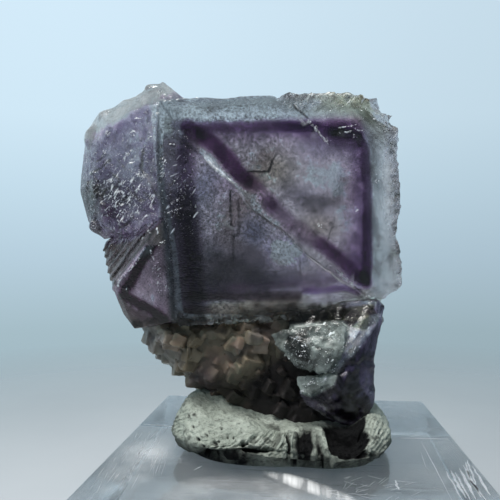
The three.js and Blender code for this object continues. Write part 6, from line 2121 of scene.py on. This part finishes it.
m.principled(Base_Color=tone, Roughness=m.map(m.noise(700, 2, 0.5), 0.3, 0.7, 0.3, 0.6), IOR=1.49, Transmission_Weight=m.map(m.noise(1500, 4, 0.6), 0.35, 0.62, 0.35, 0.80))
finish_piece(scuffs, m.m, "acrylic_block")

# =====================================================================
# stage, light, camera
# =====================================================================
bm = bmesh.new()
rings = [0, 20, 60, 120, 180, 240, 300, 380, 480]
prev = [bm.verts.new((0, 0, -0.02))]
for rad in rings[1:]:
    cur = [bm.verts.new((rad * math.cos(t), rad * math.sin(t), -0.02)) for t in np.linspace(0, 2 * math.pi, 96, endpoint=False)]
    for i in range(96):
        j = (i + 1) % 96
        if len(prev) == 1:
            bm.faces.new((prev[0], cur[i], cur[j]))
        else:
            bm.faces.new((prev[i], cur[i], cur[j], prev[j]))
    prev = cur
bmesh.ops.scale(bm, vec=(MM, MM, MM), verts=bm.verts)
me = bpy.data.meshes.new("floor")
bm.to_mesh(me)
bm.free()
floor = bpy.data.objects.new("floor", me)
scene.collection.objects.link(floor)
m = Mat("floor")
co = m.coords()
sep = m.n("SeparateXYZ")
m.l(co, sep.inputs[0])
r2 = m.math("SQRT", m.math("ADD", m.math("MULTIPLY", sep.outputs[0], sep.outputs[0]), m.math("MULTIPLY", sep.outputs[1], sep.outputs[1])))
fade = m.map(r2, 0.07, 0.26, 0.0, 1.0)
tone = m.ramp(m.noise(14, 4, 0.5, co), [(0.3, (0.40, 0.425, 0.445)), (0.7, (0.45, 0.475, 0.495))])
p = m.principled(Base_Color=tone, Roughness=0.8)
tr = m.n("BsdfTransparent")
mx = m.n("MixShader")
m.l(fade, mx.inputs[0])
m.l(p.outputs["BSDF"], mx.inputs[1])
m.l(tr.outputs["BSDF"], mx.inputs[2])
m.l(mx.outputs["Shader"], m.out.inputs["Surface"])
me.materials.append(m.m)

world = bpy.data.worlds.new("studio")
scene.world = world
world.use_nodes = True
t = world.node_tree
t.nodes.clear()


def wn(kind, **props):
    node = t.nodes.new("ShaderNode" + kind)
    for k, val in props.items():
        setattr(node, k, val)
    return node


def wmap(value, a, b, c, d):
    node = wn("MapRange", clamp=True, interpolation_type="SMOOTHSTEP")
    for k, val in zip(("From Min", "From Max", "To Min", "To Max"), (a, b, c, d)):
        node.inputs[k].default_value = val
    t.links.new(value, node.inputs["Value"])
    return node.outputs["Result"]


wo = wn("OutputWorld")
bg = wn("Background")
tc = wn("TexCoord")
sp = wn("SeparateXYZ")
cr = wn("ValToRGB")
t.links.new(tc.outputs["Generated"], sp.inputs[0])
half = wn("Math", operation="MULTIPLY_ADD")
half.inputs[1].default_value = 0.5
half.inputs[2].default_value = 0.5
t.links.new(sp.outputs[2], half.inputs[0])
t.links.new(half.outputs[0], cr.inputs["Fac"])
stops = [  # sine of the elevation, colour
    (-1.0, (0.20, 0.24, 0.26)), (-0.45, (0.30, 0.37, 0.41)), (-0.23, (0.345, 0.455, 0.51)), (-0.12, (0.37, 0.495, 0.555)),
    (0.0, (0.455, 0.60, 0.70)), (0.12, (0.535, 0.70, 0.81)), (0.24, (0.615, 0.785, 0.90)), (0.42, (0.64, 0.81, 0.93)),
    (0.62, (0.42, 0.53, 0.60)), (1.0, (0.16, 0.19, 0.21)),
]
el = cr.color_ramp.elements
while len(el) > 1:
    el.remove(el[-1])
el[0].position = 0
el[0].color = (*stops[0][1], 1)
for s, c in stops[1:]:
    e = el.new((s + 1) / 2)
    e.color = (*c, 1)
# the backdrop is lit behind the specimen and falls off towards the viewer
fb = wmap(sp.outputs[1], -0.75, 0.25, 0.34, 1.0)
lr = wmap(sp.outputs[0], -0.45, 0.45, 1.03, 0.88)
mul = wn("Math", operation="MULTIPLY")
t.links.new(fb, mul.inputs[0])
t.links.new(lr, mul.inputs[1])
t.links.new(cr.outputs["Color"], bg.inputs["Color"])
t.links.new(mul.outputs[0], bg.inputs["Strength"])
t.links.new(bg.outputs["Background"], wo.inputs["Surface"])


def area(name, at, look, size, power, color, size_y=None):
    d = bpy.data.lights.new(name, "AREA")
    d.energy = power
    d.color = color
    d.size = size
    if size_y:
        d.shape = "RECTANGLE"
        d.size_y = size_y
    o = bpy.data.objects.new(name, d)
    o.location = at
    o.rotation_euler = (Vector(look) - Vector(at)).to_track_quat("-Z", "Y").to_euler()
    o.visible_camera = False
    o.visible_transmission = False
    scene.collection.objects.link(o)
    return o


area("overhead", (-0.05, -0.10, 0.36), (0, 0, 0.045), 0.15, 1.45, (1.0, 0.99, 0.97))
area("spark", (-0.16, -0.24, 0.30), (0, 0, 0.05), 0.05, 0.30, (1.0, 0.99, 0.97))

cam_data = bpy.data.cameras.new("camera")
cam_data.sensor_width = 36
cam_data.lens = 39.6
cam_data.clip_start = 0.002
cam_data.clip_end = 20
cam = bpy.data.objects.new("camera", cam_data)
scene.collection.objects.link(cam)
yaw, pitch = math.radians(5.479), math.radians(0.901)
fwd = Vector((-math.sin(yaw) * math.cos(pitch), math.cos(yaw) * math.cos(pitch), math.sin(pitch)))
right = Vector((math.cos(yaw), math.sin(yaw), 0))
up = right.cross(fwd)
mw = Matrix((right, up, -fwd)).transposed().to_4x4()
mw.translation = Vector(EYE) * MM
cam.matrix_world = mw
scene.camera = cam

scene.view_settings.view_transform = "Standard"
scene.view_settings.look = "None"
scene.cycles.max_bounces = 48
scene.cycles.transmission_bounces = 48
scene.cycles.transparent_max_bounces = 32
scene.cycles.diffuse_bounces = 4
scene.cycles.glossy_bounces = 8
scene.cycles.sample_clamp_indirect = 6.0
